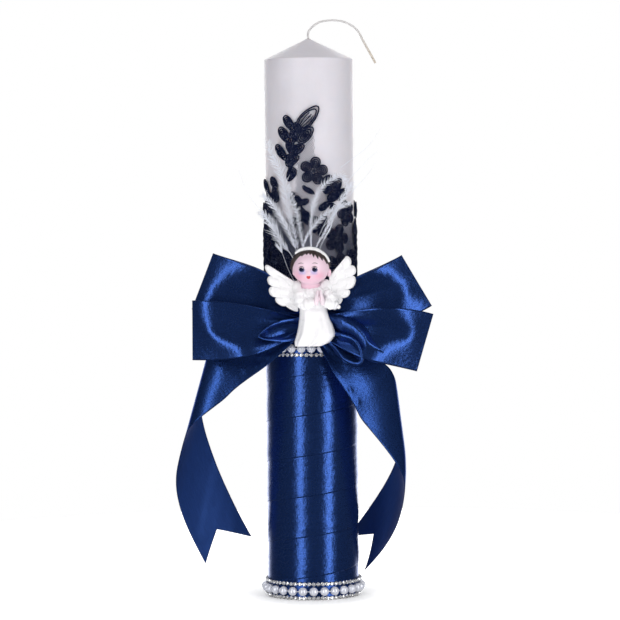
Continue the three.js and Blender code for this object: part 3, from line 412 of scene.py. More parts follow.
def steps_round(count, turned=0.0):
    """Even steps of one full turn, begun that share of a step on."""
    return TURN * (np.arange(count) + turned) / count


def ring_places(radius, turn, z):
    """Places round the candle's axis: the radius times the sine and the negative cosine of the turn."""
    return places(radius * np.sin(turn), -radius * np.cos(turn), z)


def ball_places(lat, lon):
    """Places on a ball of radius 1, by the sines and cosines of latitude and longitude."""
    return ring_places(np.cos(lat), lon, np.sin(lat))


def latitudes(count):
    """A column of latitudes from just off one pole to just off the other."""
    return np.linspace(-np.pi / 2 + 0.01, np.pi / 2 - 0.01, count)[:, None]


def hill(x, z, middle, height, wide, tall):
    """A soft round hill: the exponential of minus the squared distances over their spreads."""
    return np.exp(-((x - middle) ** 2 / wide + (z - height) ** 2 / tall))


def run_along(line):
    """Distance along a line of points: the running sum of the lengths between them."""
    return np.concatenate([[0], np.cumsum(np.linalg.norm(np.diff(line, axis=0), axis=1))])


def beside(line):
    """Unit vectors across a flat line, to the left of its run."""
    ahead = unit(np.gradient(line, axis=0))
    return np.stack([-ahead[:, 1], ahead[:, 0]], -1)


def points_at(where, marks, line):
    """Places on a line of points by their marks, with straight stretches between the marks."""
    return np.stack([np.interp(where, marks, column) for column in line.T], -1)


def ripples(seed, x, y, wave_x, wave_y, count=7):
    """A soft random relief: a sum of plane waves with random phases and wavelengths near those given."""
    rng = np.random.default_rng(seed)
    waves = zip(rng.uniform(0.5, 1.6, count), rng.uniform(-1.6, 1.6, count), rng.uniform(0, TURN, count))
    total = sum(np.sin(TURN * (kx * x / wave_x + ky * y / wave_y) + turn) for kx, ky, turn in waves)
    return total / np.sqrt(count)


def curve_through(points, count):
    """Evenly spaced places on the centripetal Catmull-Rom spline through the points.

    The knots are apart by the square root of the distance between their points, and the ends are mirrored.
    """
    p = np.asarray(points, float)
    p = np.vstack([2 * p[0] - p[1], p, 2 * p[-1] - p[-2]])
    t = np.concatenate([[0], np.cumsum(np.sqrt(np.linalg.norm(np.diff(p, axis=0), axis=1)))])
    stretches, steps = len(p) - 3, 40
    share = np.linspace(0, 1, steps, endpoint=False)[None, :, None]
    t0, t1, t2, t3 = (t[k:k + stretches, None, None] for k in range(4))
    p0, p1, p2, p3 = (p[k:k + stretches, None, :] for k in range(4))
    u = t1 + (t2 - t1) * share
    a1 = mixed(p0, p1, (u - t0) / (t1 - t0))
    a2 = mixed(p1, p2, (u - t1) / (t2 - t1))
    a3 = mixed(p2, p3, (u - t2) / (t3 - t2))
    b1 = mixed(a1, a2, (u - t0) / (t2 - t0))
    b2 = mixed(a2, a3, (u - t1) / (t3 - t1))
    fine = np.vstack([mixed(b1, b2, (u - t1) / (t2 - t1)).reshape(-1, p.shape[1]), p[-2]])
    run = run_along(fine)
    return points_at(np.linspace(0, run[-1], count), run, fine)


def grid_faces(rows, cols, round_cols=False, round_rows=False):
    """Four-cornered faces between neighbouring rows and columns. Where they are round, the last joins the
    first."""
    i = np.arange(rows if round_rows else rows - 1)[:, None]
    j = np.arange(cols if round_cols else cols - 1)[None, :]
    below, beside = (i + 1) % rows, (j + 1) % cols
    corners = [i * cols + j, i * cols + beside, below * cols + beside, below * cols + j]
    return np.stack(corners, -1).reshape(-1, 4)


def repeated(faces, count, stride):
    """The same faces for each of a number of copies, whose corners lie a stride apart."""
    return (faces[None] + (np.arange(count) * stride)[:, None, None]).reshape(-1, faces.shape[1])


class Part:
    """Corners, faces with their material, ribbon coordinates and paint of one piece before it is a
    mesh."""

    def __init__(self, points, faces, uv=None, paint=None):
        self.points = np.asarray(points, float).reshape(-1, 3)
        self.faces = faces
        self.uv = np.zeros((len(self.points), 2)) if uv is None else np.asarray(uv, float).reshape(-1, 2)
        self.paint = paint

    def outward(self):
        """Turns every face over if the volume that they enclose is negative."""
        total = 0
        for corners, _ in self.faces:
            p = self.points[corners]
            for k in range(1, corners.shape[1] - 1):
                total += np.einsum("ij,ij->", p[:, 0], np.cross(p[:, k], p[:, k + 1]))
        if total < 0:
            self.faces = [(corners[:, ::-1], slot) for corners, slot in self.faces]
        return self

    def using(self, slot):
        """Gives every face the same material slot."""
        self.faces = [(corners, slot) for corners, _ in self.faces]
        return self


def joined(parts):
    """Several parts as one, with their corners counted on from part to part."""
    faces, start = [], 0
    for part in parts:
        faces += [(corners + start, slot) for corners, slot in part.faces]
        start += len(part.points)
    points = np.concatenate([part.points for part in parts])
    return Part(points, faces, np.concatenate([part.uv for part in parts]))


def tubes(rings):
    """Closed tubes from rings of points, one tube or a stack, each end closed on the middle of its
    ring."""
    rings = rings if rings.ndim == 4 else rings[None]
    count, rows, cols, _ = rings.shape
    last = (rows - 1) * cols
    low_pole, high_pole = rows * cols, rows * cols + 1
    j = np.arange(cols)
    k = (j + 1) % cols
    caps = np.concatenate([np.stack([k, j, np.full(cols, low_pole)], -1),
                           np.stack([j + last, k + last, np.full(cols, high_pole)], -1)])
    faces = [(repeated(f, count, high_pole + 1), 0) for f in (grid_faces(rows, cols, True), caps)]
    points = np.concatenate([rings.reshape(count, -1, 3), rings[:, [0, -1]].mean(2)], 1)
    run = np.linspace(0, 1, rows)
    run = np.tile(np.concatenate([np.repeat(run, cols), run[[0, -1]]]), count)
    return Part(points, faces, np.stack([0 * run, run], -1)).outward()


def rings_round(path, radius, sides, outward=FRONT, closed=False, flatten=1.0):
    """Rings of points across a path: each is its point, plus radius times the cosine of the turn outwards
    and the sine sideways. The radius may vary along the path, and flatten scales its outward part."""
    ahead = np.roll(path, -1, -2) - np.roll(path, 1, -2) if closed else np.gradient(path, axis=-2)
    side = unit(np.cross(unit(ahead), outward))
    up = np.cross(side, unit(ahead))
    turn = steps_round(sides)[:, None]
    radius = np.broadcast_to(radius, path.shape[:-1])[..., None, None]
    across = np.cos(turn) * up[..., None, :] * flatten + np.sin(turn) * side[..., None, :]
    return path[..., None, :] + radius * across


def loops_of_cord(path, radius, sides, outward, flatten=1.0):
    """Endless cords: tubes whose last ring joins the first, for a stack of closed paths."""
    rings = rings_round(path, radius, sides, outward, closed=True, flatten=flatten)
    count, rows, cols, _ = rings.shape
    return Part(rings, [(repeated(grid_faces(rows, cols, True, True), count, rows * cols), 0)]).outward()


def hoop(radius, height, cord, steps, sides, flatten=1.0):
    """A cord laid once round the candle at a height."""
    outward = ring_places(1.0, steps_round(steps), 0.0)
    return loops_of_cord((outward * radius + (0, 0, height))[None], cord, sides, outward, flatten)


def lathe(profile, sides, wobble):
    """A profile of radii and heights turned round the candle's axis, with a wobble of its radius that
    fades toward the axis. Its ends lie close to the axis."""
    turn = steps_round(sides)[None, :]
    r, z = np.asarray(profile, float).T[:, :, None]
    return tubes(ring_places(r + wobble(turn, z) * smooth(r / 20), turn, z))


def ball(centre, radii, rows=24, cols=32):
    """An ellipsoid: places on a ball times the three radii."""
    return tubes(np.asarray(centre) + ball_places(latitudes(rows), steps_round(cols)) * np.asarray(radii))


def shell(near, far, uv=None, slots=(0, 0)):
    """A closed skin of two grids of one size, the near and the far side, with their rims joined."""
    rows, cols, _ = near.shape
    count = rows * cols
    quads = grid_faces(rows, cols)
    at = np.arange(count).reshape(rows, cols)
    rim = np.concatenate([at[0, :-1], at[:-1, -1], at[-1, :0:-1], at[:0:-1, 0]])
    beside = np.roll(rim, -1)
    edge = np.stack([rim, beside, beside + count, rim + count], -1)
    faces = [(quads[:, ::-1], slots[0]), (quads + count, slots[1]), (edge, 0)]
    return Part(np.stack([near, far]), faces, uv)


def cloth(grid, uv, thickness, glossy_first=True):
    """A sheet: the grid plus and minus half the thickness along its normal.

    The side that the normal points to is the glossy one unless said otherwise. uv is across and along, in
    metres.
    """
    normal = unit(np.cross(np.gradient(grid, axis=0), np.gradient(grid, axis=1)))
    half = normal * np.broadcast_to(np.asarray(thickness) / 2, grid.shape[:2])[..., None]
    slots = (0, 1) if glossy_first else (1, 0)
    return shell(grid + half, grid - half, np.tile(uv.reshape(-1, 2), (2, 1)), slots)


def put(name, part, materials, nodes=(), flat=False):
    """Makes the mesh object of a part, in metres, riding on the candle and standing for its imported
    nodes."""
    if not np.isfinite(part.points).all():
        raise ValueError(f"{name} has corners that are not numbers")
    corners = np.concatenate([f.ravel() for f, _ in part.faces])
    sizes = np.concatenate([np.full(len(f), f.shape[1]) for f, _ in part.faces])
    slots = np.concatenate([np.full(len(f), m) for f, m in part.faces])
    mesh = bpy.data.meshes.new(name)
    mesh.vertices.add(len(part.points))
    mesh.vertices.foreach_set("co", (part.points * MM).ravel())
    mesh.loops.add(len(corners))
    mesh.loops.foreach_set("vertex_index", corners)
    mesh.polygons.add(len(sizes))
    mesh.polygons.foreach_set("loop_start", np.concatenate([[0], np.cumsum(sizes)[:-1]]))
    mesh.polygons.foreach_set("material_index", slots)
    mesh.polygons.foreach_set("use_smooth", np.full(len(sizes), not flat))
    mesh.uv_layers.new(name="run").data.foreach_set("uv", part.uv[corners].ravel())
    if part.paint is not None:
        layer = mesh.color_attributes.new("paint", "FLOAT_COLOR", "POINT")
        opaque = np.ones((len(part.paint), 1))
        layer.data.foreach_set("color", np.concatenate([part.paint, opaque], 1).ravel())
    mesh.update(calc_edges=True)
    mesh.validate()
    for material in materials:
        mesh.materials.append(material)
    piece = bpy.data.objects.new(name, mesh)
    bpy.context.scene.collection.objects.link(piece)
    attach(piece, "root")
    if nodes:
        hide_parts(*nodes)
    return piece


# Materials

def add_node(owner, kind, sockets=None, **settings):
    """Adds a node, with its settings, and its sockets set to a value or linked from another socket."""
    tree = owner.node_tree
    node = tree.nodes.new(kind)
    for key, value in settings.items():
        setattr(node, key, value)
    for key, value in (sockets or {}).items():
        if isinstance(value, bpy.types.NodeSocket):
            tree.links.new(value, node.inputs[key])
        else:
            node.inputs[key].default_value = value
    return node


def finish(name, base, roughness, **values):
    """A Principled finish whose uniform values stand on the shader's own sockets."""
    material = bpy.data.materials.new(name)
    material.use_nodes = True
    material.diffuse_color = (*base, 1)
    shader = material.node_tree.nodes["Principled BSDF"]
    shader.inputs["Base Color"].default_value = (*base, 1)
    shader.inputs["Roughness"].default_value = roughness
    for key, value in values.items():
        shader.inputs[key.replace("_", " ")].default_value = value
    return material


def feed(material, socket, value):
    """Links a value into a socket of the finish's shader."""
    material.node_tree.links.new(value, material.node_tree.nodes["Principled BSDF"].inputs[socket])


def millimetres(material, source, stretch=(1, 1, 1)):
    """Object or ribbon coordinates in millimetres, stretched along their axes."""
    place = add_node(material, "ShaderNodeTexCoord")
    sockets = {"Vector": place.outputs[source], "Scale": [s / MM for s in stretch]}
    return add_node(material, "ShaderNodeMapping", sockets).outputs[0]


def noise(material, vector, per_mm, detail=3.0, rough=0.55):
    """Soft noise with that many swellings in a millimetre."""
    sockets = {"Vector": vector, "Scale": per_mm, "Detail": detail, "Roughness": rough}
    return add_node(material, "ShaderNodeTexNoise", sockets).outputs["Fac"]


def ranged(owner, value, low, high, start=0.3, end=0.7, **settings):
    """A value that goes from low to high while its source goes from start to end."""
    sockets = {"Value": value, "From Min": start, "From Max": end, "To Min": low, "To Max": high}
    return add_node(owner, "ShaderNodeMapRange", sockets, **settings).outputs[0]


def mix_colours(material, share, a, b):
    """The given share of the way from colour a to colour b, each a plain colour or a socket."""
    factor, first, second = 0, 6, 7
    sockets = {factor: share}
    for key, value in ((first, a), (second, b)):
        sockets[key] = value if isinstance(value, bpy.types.NodeSocket) else (*value, 1)
    return add_node(material, "ShaderNodeMix", sockets, data_type="RGBA").outputs[2]


def emboss(material, height, depth, before=None):
    """Adds relief of that depth in millimetres to the normal, over an earlier relief if there is one."""
    sockets = {"Height": height, "Distance": depth * MM, "Strength": 1.0}
    if before is not None:
        sockets["Normal"] = before
    return add_node(material, "ShaderNodeBump", sockets).outputs[0]


def tinted(base, factor):
    """A colour made darker or lighter by a factor."""
    return tuple(min(c * factor, 1) for c in base)


def mottled(material, value, base, low, high):
    """A colour that wanders with a noise between two tints of its base."""
    return mix_colours(material, ranged(material, value, 0, 1), tinted(base, low), tinted(base, high))


def satin_finish(name, base, roughness, metallic, grain, edge):
    """Satin: threads along the ribbon, which spread a highlight across it, and a crinkled grain of two
    sizes."""
    material = finish(name, base, roughness, Metallic=metallic, Specular_IOR_Level=0.4, Anisotropic=0.6,
                      Specular_Tint=(*edge, 1))
    run = millimetres(material, "UV")
    threads = millimetres(material, "UV", (1, 0.05, 1))
    feed(material, "Base Color", mottled(material, noise(material, threads, 1.6, 2), base, 0.9, 1.1))
    fine = noise(material, run, 1.1, 3, 0.6)
    feed(material, "Roughness", ranged(material, fine, roughness - 0.03, roughness + 0.05))
    relief = emboss(material, noise(material, threads, 2.0, 2), 0.004)
    relief = emboss(material, noise(material, run, 0.42, 2), grain * 3, relief)
    feed(material, "Normal", emboss(material, fine, grain, relief))
    tangent = add_node(material, "ShaderNodeTangent", direction_type="UV_MAP", uv_map="run")
    feed(material, "Tangent", tangent.outputs[0])
    return material


def wax_finish(base):
    """Wax: light goes in and comes out again, with clouding and slight dimples from the mould."""
    material = finish("wax", base, 0.42, Subsurface_Weight=0.35, Subsurface_Radius=(0.004, 0.003, 0.0025),
                      Subsurface_Scale=1.0, Specular_IOR_Level=0.4)
    place = millimetres(material, "Object")
    feed(material, "Base Color", mottled(material, noise(material, place, 0.05), base, 0.965, 1.02))
    feed(material, "Roughness", ranged(material, noise(material, place, 0.3), 0.38, 0.5))
    soft = emboss(material, noise(material, place, 0.12, 2), 0.25)
    feed(material, "Normal", emboss(material, noise(material, place, 1.4), 0.03, soft))
    return material


def plain_finish(name, base, roughness, per_mm, depth, shade, **values):
    """A finish with a fine relief and a mottle of its colour, both on the piece's own coordinates."""
    material = finish(name, base, roughness, **values)
    place = millimetres(material, "Object")
    fleck = noise(material, place, per_mm)
    feed(material, "Base Color", mottled(material, fleck, base, 1 - shade, 1 + shade))
    worn = noise(material, place, per_mm * 0.4)
    feed(material, "Roughness", ranged(material, worn, max(roughness - 0.05, 0.03), roughness + 0.06))
    feed(material, "Normal", emboss(material, fleck, depth))
    return material


def wick_finish(base, end):
    """Cotton braid that turns to waxed amber over its last third, by the share along it in its
    coordinates."""
    material = finish("wick", base, 0.75, Sheen_Weight=0.3)
    place = add_node(material, "ShaderNodeTexCoord")
    along = add_node(material, "ShaderNodeSeparateXYZ", {"Vector": place.outputs["UV"]}).outputs["Y"]
    aged = ranged(material, along, 0, 1, 0.62, 0.9)
    fibres = noise(material, millimetres(material, "Object"), 4.0)
    cotton = mottled(material, fibres, base, 0.85, 1.1)
    feed(material, "Base Color", mix_colours(material, aged, cotton, end))
    feed(material, "Normal", emboss(material, fibres, 0.06))
    return material


def painted_finish(name, roughness):
    """Resin paint: the colour is the paint attribute, with a thin varnish."""
    material = finish(name, (0.8, 0.5, 0.5), roughness, Coat_Weight=0.25, Coat_Roughness=0.15,
                      Subsurface_Weight=0.08, Subsurface_Radius=(0.002, 0.001, 0.001))
    paint = add_node(material, "ShaderNodeAttribute", attribute_name="paint")
    feed(material, "Base Color", paint.outputs["Color"])
    grain = noise(material, millimetres(material, "Object"), 1.5)
    feed(material, "Normal", emboss(material, grain, 0.02))
    return material


def keep_node(name, material):
    """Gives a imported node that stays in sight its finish."""
    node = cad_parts[name]
    node.data.materials.clear()
    node.data.materials.append(material)


# Stage, wax and wick

class CandleStage(bpy.types.Operator):
    """Sets the pale floor, the white surround, the soft boxes and the camera"""

    bl_idname = "candle.stage"
    bl_label = "Stage"

    def execute(self, context):
        settings = context.scene.candle_stage
        self.surround(context)
        self.floor()
        # Bearing, distance, height, width and height of the box, radiance, and whether pieces mirror it.
        tall, side, rear = (0.38, 2.2), (1.0, 2.2), (0.7, 1.8)
        for name, *values in (
            ("key_left", -31, 1.5, 0.4, tall, settings.key * 0.86, True),
            ("key_right", 41, 1.5, 0.4, tall, settings.key, True),
            ("front_fill", 0, 1.9, 0.9, (2.6, 1.4), settings.fill, False),
            ("side_left", -75, 1.5, 0.4, side, settings.fill * 0.5, False),
            ("side_right", 75, 1.5, 0.4, side, settings.fill * 0.4, False),
            ("rear_left", -160, 1.5, 0.4, rear, settings.rear, True),
            ("rear_right", 160, 1.5, 0.4, rear, settings.rear, True),
            ("overhead", 0, 0.05, 1.6, (1.6, 1.6), settings.fill, False),
        ):
            self.soft_box(context, name, *values)
        self.camera(context, settings)
        return {"FINISHED"}

    def surround(self, context):
        """White to the camera; to the pieces bright behind the candle and dim on the camera's side."""
        world = bpy.data.worlds.new("surround")
        world.use_nodes = True
        context.scene.world = world
        place = add_node(world, "ShaderNodeTexCoord").outputs["Generated"]
        rear = add_node(world, "ShaderNodeSeparateXYZ", {0: place}).outputs["Y"]
        behind = ranged(world, rear, 0.075, 0.85, 0.55, 0.97, interpolation_type="SMOOTHSTEP")
        seen = add_node(world, "ShaderNodeLightPath").outputs["Is Camera Ray"]
        factor, unseen, white = 0, 2, 3
        strength = add_node(world, "ShaderNodeMix", {factor: seen, unseen: behind, white: 1.0}).outputs[0]
        background = world.node_tree.nodes["Background"]
        background.inputs["Color"].default_value = (1, 1, 1, 1)
        world.node_tree.links.new(strength, background.inputs["Strength"])
        context.scene.view_settings.view_transform = "Standard"

    def floor(self):
        """A round table top whose own glow keeps it as white as the surround. The glow is weaker near the
        candle, which paints a soft shadow on the floor under it."""
        sides, radius = 96, 0.5
        turn = steps_round(sides)
        rim = places(np.sin(turn), np.cos(turn), 0.0) * radius
        mesh = bpy.data.meshes.new("floor")
        mesh.from_pydata(rim.tolist(), [], [list(reversed(range(sides)))])
        material = finish("floor", (0.9, 0.9, 0.9), 0.7, Emission_Color=(1, 1, 1, 1))
        place = add_node(material, "ShaderNodeTexCoord").outputs["Object"]
        away = add_node(material, "ShaderNodeVectorMath", {0: place}, operation="LENGTH").outputs["Value"]
        # Painted shadow: the glow drops from 1.0 far off to 0.2 near the candle's foot, so the floor under
        # the candle reads darker.
        feed(material, "Emission Strength", ranged(material, away, 0.2, 1.0, 0.03, 0.075))
        feed(material, "Roughness", ranged(material, noise(material, place, 20), 0.66, 0.74))
        mesh.materials.append(material)
        floor = bpy.data.objects.new("floor", mesh)
        floor.visible_glossy = False
        bpy.context.scene.collection.objects.link(floor)

    def soft_box(self, context, name, bearing, distance, height, size, radiance, seen):
        """A rectangular light at a bearing round the candle, aimed at the bow; its power follows its
        area."""
        light = bpy.data.lights.new(name, "AREA")
        light.shape = "RECTANGLE"
        light.size, light.size_y = size
        light.energy = radiance * np.pi * size[0] * size[1]
        lamp = bpy.data.objects.new(name, light)
        lamp.location = ring_places(distance, np.radians(bearing), height)
        aim = Vector((0, 0, BOW_HEIGHT)) - lamp.location
        lamp.rotation_euler = aim.to_track_quat("-Z", "Y").to_euler()
        lamp.visible_camera = False
        lamp.visible_glossy = seen
        context.scene.collection.objects.link(lamp)

    def camera(self, context, settings):
        """In front of the candle, looking a little down on it, and rolled by a little."""
        camera = bpy.data.objects.new("camera", bpy.data.cameras.new("camera"))
        camera.data.lens = settings.lens
        camera.data.sensor_width = 36
        place, look_down, roll = (-0.0006, -1.841, 0.2736), np.radians(2.46), np.radians(0.58)
        camera.matrix_world = (Matrix.Translation(place) @ Matrix.Rotation(np.pi / 2 - look_down, 4, "X")
                               @ Matrix.Rotation(-roll, 4, "Z"))
        context.scene.collection.objects.link(camera)
        context.scene.camera = camera


class CandleWick(bpy.types.Operator):
    """Makes the free wick as a braided cord on its route, and finishes the part inside the wax"""

    bl_idname = "candle.wick"
    bl_label = "Wick"

    def execute(self, context):
        wax = context.scene.candle_wax
        start = wax.height / MM + GAP / 2
        reach, rise = np.array(WICK_ROUTE, float).T
        route = curve_through(places(reach, 0.0, start + rise), 260)
        part = self.braid(route, wax.wick_diameter / 2 / MM)
        finish_of_wick = wick_finish(wax.wick, wax.wick_end)
        piece = put("wick_cord", part, [finish_of_wick], ["wick"])
        keep_node("wick_core", finish_of_wick)
        return {"FINISHED"}

    def braid(self, route, radius):
        """A tube whose radius swells where one of three plies passes, by the cosine of three turns plus
        the run, and from 42 mm on where the end is waxed. Its ends are drawn in."""
        rows, sides = len(route), 18
        run = np.linspace(0, WICK_LENGTH / MM, rows)[:, None]
        swell = 0.86 + 0.05 * np.cos(3 * steps_round(sides) + 2.1 * run) + 0.1 * smooth((run - 42) / 12)
        swell[[0, -1]] *= 0.55
        middle = route[:, None]
        return tubes(middle + (rings_round(route, radius, sides) - middle) * swell[..., None])


class CandleWax(bpy.types.Operator):
    """Turns the wax pillar with its soft shoulder, its cone and the hole that the wick stands in"""

    bl_idname = "candle.wax"
    bl_label = "Wax pillar"

    def execute(self, context):
        wax = context.scene.candle_wax
        radius, tip, edge = wax.radius / MM, wax.height / MM, wax.edge / MM
        shoulder = tip - wax.cone_rise / MM
        quarter = np.linspace(0, np.pi / 2, 7)
        foot = np.stack([radius - edge + edge * np.sin(quarter), edge - edge * np.cos(quarter)], -1)
        # The wall is upright between two arcs of the edge's radius, and the cone is straight to the well.
        slope = np.arctan2(wax.cone_rise / MM, radius)
        round_top = np.linspace(0, np.pi / 2 - slope, 9)
        drop = edge * np.tan((np.pi / 2 - slope) / 2)
        top = np.stack([radius - edge + edge * np.cos(round_top),
                        shoulder - drop + edge * np.sin(round_top)], -1)
        bore = wax.wick_diameter / 2 / MM + GAP
        share = np.linspace(0.06, 1, 24)[:, None]
        mouth = np.array([bore, tip - wax.cone_rise / MM * bore / radius])
        cone = mixed(top[-1], mouth, share)
        floor = mouth[1] - 6
        well = [(bore * 0.96, mouth[1] - 1.2), (bore * 0.9, floor), (POLE, floor)]
        heights = np.linspace(foot[-1][1], top[0][1], 62)[1:-1]
        body = np.stack([np.full_like(heights, radius), heights], -1)
        profile = np.concatenate([[(POLE, 0), (radius * 0.5, 0)], foot, body, top, cone, well])
        part = lathe(profile, 192, lambda turn, z: 0.05 * ripples(3, turn * 5, z, 16, 60))
        put("wax_body", part, [wax_finish(wax.wax)], ["wax_pillar"])
        return {"FINISHED"}


# Ribbon

def ribbon_finishes(ribbon, hanging=False):
    """The glossy and the dull side of the ribbon. The hanging tails have edges that stay blue."""
    kind, edge = ("tail", (0.2, 0.3, 0.5)) if hanging else ("bow", (1, 1, 1))
    found = [bpy.data.materials.get(f"{kind}_satin_{side}") for side in ("glossy", "dull")]
    if None not in found:
        return found
    return [satin_finish(f"{kind}_satin_glossy", ribbon.satin, 0.28, 0.88, 0.05, edge),
            satin_finish(f"{kind}_satin_dull", ribbon.reverse, 0.42, 0.42, 0.04, edge)]


def selvedge(across, ribbon):
    """Thickness across the ribbon: a firm bead within the selvedge of each edge."""
    width, edge = ribbon.width / MM, ribbon.selvedge / MM
    inside = np.minimum(across, width - across)
    return ribbon.thickness / MM * (1 + 0.7 * (1 - smooth(inside / edge)))


def ribbon_piece(node, grid, uv, side, ribbon, finishes):
    """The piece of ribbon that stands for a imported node, from its grid and its distances across and
    along. On the right side of the bow the glossy face is the one that the grid's normal points to."""
    part = cloth(grid, uv, selvedge(uv[..., 0] / MM, ribbon), side > 0)
    return put(f"{node}_ribbon", part, finishes, [node])


class CandleWrap(bpy.types.Operator):
    """Winds the ribbon round the lower part in overlapping turns, trimmed level at both ends"""

    bl_idname = "candle.wrap"
    bl_label = "Wound ribbon"

    def execute(self, context):
        ribbon = context.scene.candle_ribbon
        width, pitch = ribbon.width / MM, ribbon.pitch / MM
        grid, across, along = self.winding(width, pitch)
        uv = np.stack([across, along], -1) * MM
        part = cloth(grid, uv, WRAP_SHEET)
        piece = put("wound_ribbon", part, ribbon_finishes(ribbon), ["wrap_ribbon"])
        return {"FINISHED"}

    def winding(self, width, pitch):
        """Each place across the strip lies on a helix: its height is the turn's rise plus its distance
        from the lower edge, cut level at the foot and the top. Its radius falls by the layer step from
        the lower edge, which lies over the turn below, to the upper edge, plus faint wrinkles along the
        strip."""
        rows_a_turn, cols, end, off_wax, pressed, press_reach = 140, 41, 0.02, 0.14, 0.36, 6
        turns = (WRAP_TOP - WRAP_FOOT + width) / pitch
        step = np.linspace(end, turns - end, int(turns * rows_a_turn))[:, None]
        share = np.linspace(0, 1, cols)[None, :]
        low = WRAP_FOOT - width + pitch * step
        bottom, top = np.maximum(low, WRAP_FOOT), np.minimum(low + width, WRAP_TOP)
        z = mixed(bottom, top, share)
        across = z - low
        along = TURN * step * (WRAP_INNER + WRAP_STEP / 2) + 0 * share
        wrinkle = ripples(5, along, across, 90, 6, 12) * 0.06 + ripples(6, along, across, 40, 18, 6) * 0.05
        layer = WRAP_STEP * (1 - across / width) - pressed * (1 - smooth(across / press_reach))
        return ring_places(WRAP_INNER + off_wax + layer + wrinkle, TURN * step, z), across, along


def loop_grid(form, ribbon):
    """A loop of ribbon as a grid of places, with the distance across and along it.

    Its top and bottom edges are cubic curves from the knot to the outer corners, measured by their own
    length. The front layer rises from the crease by the running sum of its slope, which falls to nothing
    round the place where it turns; the back layer lies behind by its own depth. Both close in on the knot,
    where pleats run out from it, the cosine of a few waves across the ribbon.
    """
    front, back, cols, gathered, handle = 54, 26, 33, 6.0, 0.4
    opened, root_gap, root_end, pleat_end = 0.62, 0.9, 0.4, 0.42
    side = np.sign(form["top"][0])
    top, bottom = (KNOT + form[k] for k in ("top", "bottom"))
    root = KNOT + (side * (3 + GAP), form["root"])
    up = unit(top - bottom)
    out = np.array([up[1], -up[0]]) * side
    reach = np.linalg.norm((top + bottom) / 2 - root)
    fine = np.linspace(0, 1, 400)[:, None]
    share = np.concatenate([1 - (1 - np.linspace(0, 1, front)) ** 1.5,
                            1 - (1 - np.linspace(1, 0, back + 1)[1:]) ** 1.3])

    def edge(corner, bulge, sign):
        a = root + (0, sign * gathered / 2)
        b, c, d = a + bulge, corner - out * reach * handle, corner
        line = ((1 - fine) ** 3 * a + 3 * fine * (1 - fine) ** 2 * b
                + 3 * fine ** 2 * (1 - fine) * c + fine ** 3 * d)
        run = run_along(line)
        return points_at(share * run[-1], run, line), run[-1]

    low, low_run = edge(bottom, form["spread"][1], -1)
    high, high_run = edge(top, form["spread"][0], 1)
    v = np.linspace(0, 1, cols)[None, :]
    a = share[:, None]
    on_front = (np.arange(front + back) < front)[:, None]
    free = v if form["free"] == "top" else 1 - v
    inward = (1 - a) * mixed(low_run, high_run, v)
    shares, distances, widths = form["turn"]
    turn_at, width = np.interp(free, shares, distances), np.interp(free, shares, widths)
    # The slope begins to fall so far before the turn that it has fallen to tilt there: the inverse of the
    # smooth step, by the third of an arc sine.
    lean = mixed(*form["lean"], free)
    soft = 5.0 * lean * width
    begin = turn_at - soft * (0.5 - np.sin(np.arcsin(1 - 2 * (1 - form["tilt"] / lean)) / 3))
    slope = lean * (1 - smooth((inward - begin) / soft)) - 0.03 * smooth((inward - turn_at) / 30)
    steps = (slope[1:] + slope[:-1]) / 2 * (inward[:-1] - inward[1:])
    risen = np.zeros_like(inward)
    risen[:front - 1] = np.cumsum(steps[:front - 1][::-1], axis=0)[::-1]
    full_back = mixed(*form["back"], free ** 1.5)
    back_depth = full_back * smooth(inward / (full_back * 1.6))
    near_knot = smooth(a / opened)
    root_depth = root_gap * (1 - smooth(a / root_end))
    depth = np.where(on_front, -risen * near_knot - root_depth, back_depth * near_knot + root_depth)
    pleats = np.cos(TURN * 2.2 * v + form["phase"]) + 0.45 * np.cos(TURN * 4.7 * v + 2.3 * form["phase"])
    drawn = smooth(a * 7) * (1 - smooth(a / pleat_end))
    relief = 0.16 * ripples(form["seed"], a * reach, v * 40, 34, 26, 5)
    relief = relief * smooth(a * 3) * smooth(inward / 12)
    y = (KNOT_BACK - form["proud"] + form["settle"] * (1 - free) * smooth(3 * a) + depth
         + ribbon.gather / MM * pleats * drawn + relief)
    place = mixed(low[:, None], high[:, None], v[..., None])
    along = np.where(on_front, a, 2 - a) * reach + 0 * v
    grid = places(place[..., 0], y, place[..., 1])
    return grid, np.stack([v * ribbon.width + 0 * a, along * MM], -1), 2 * reach, side


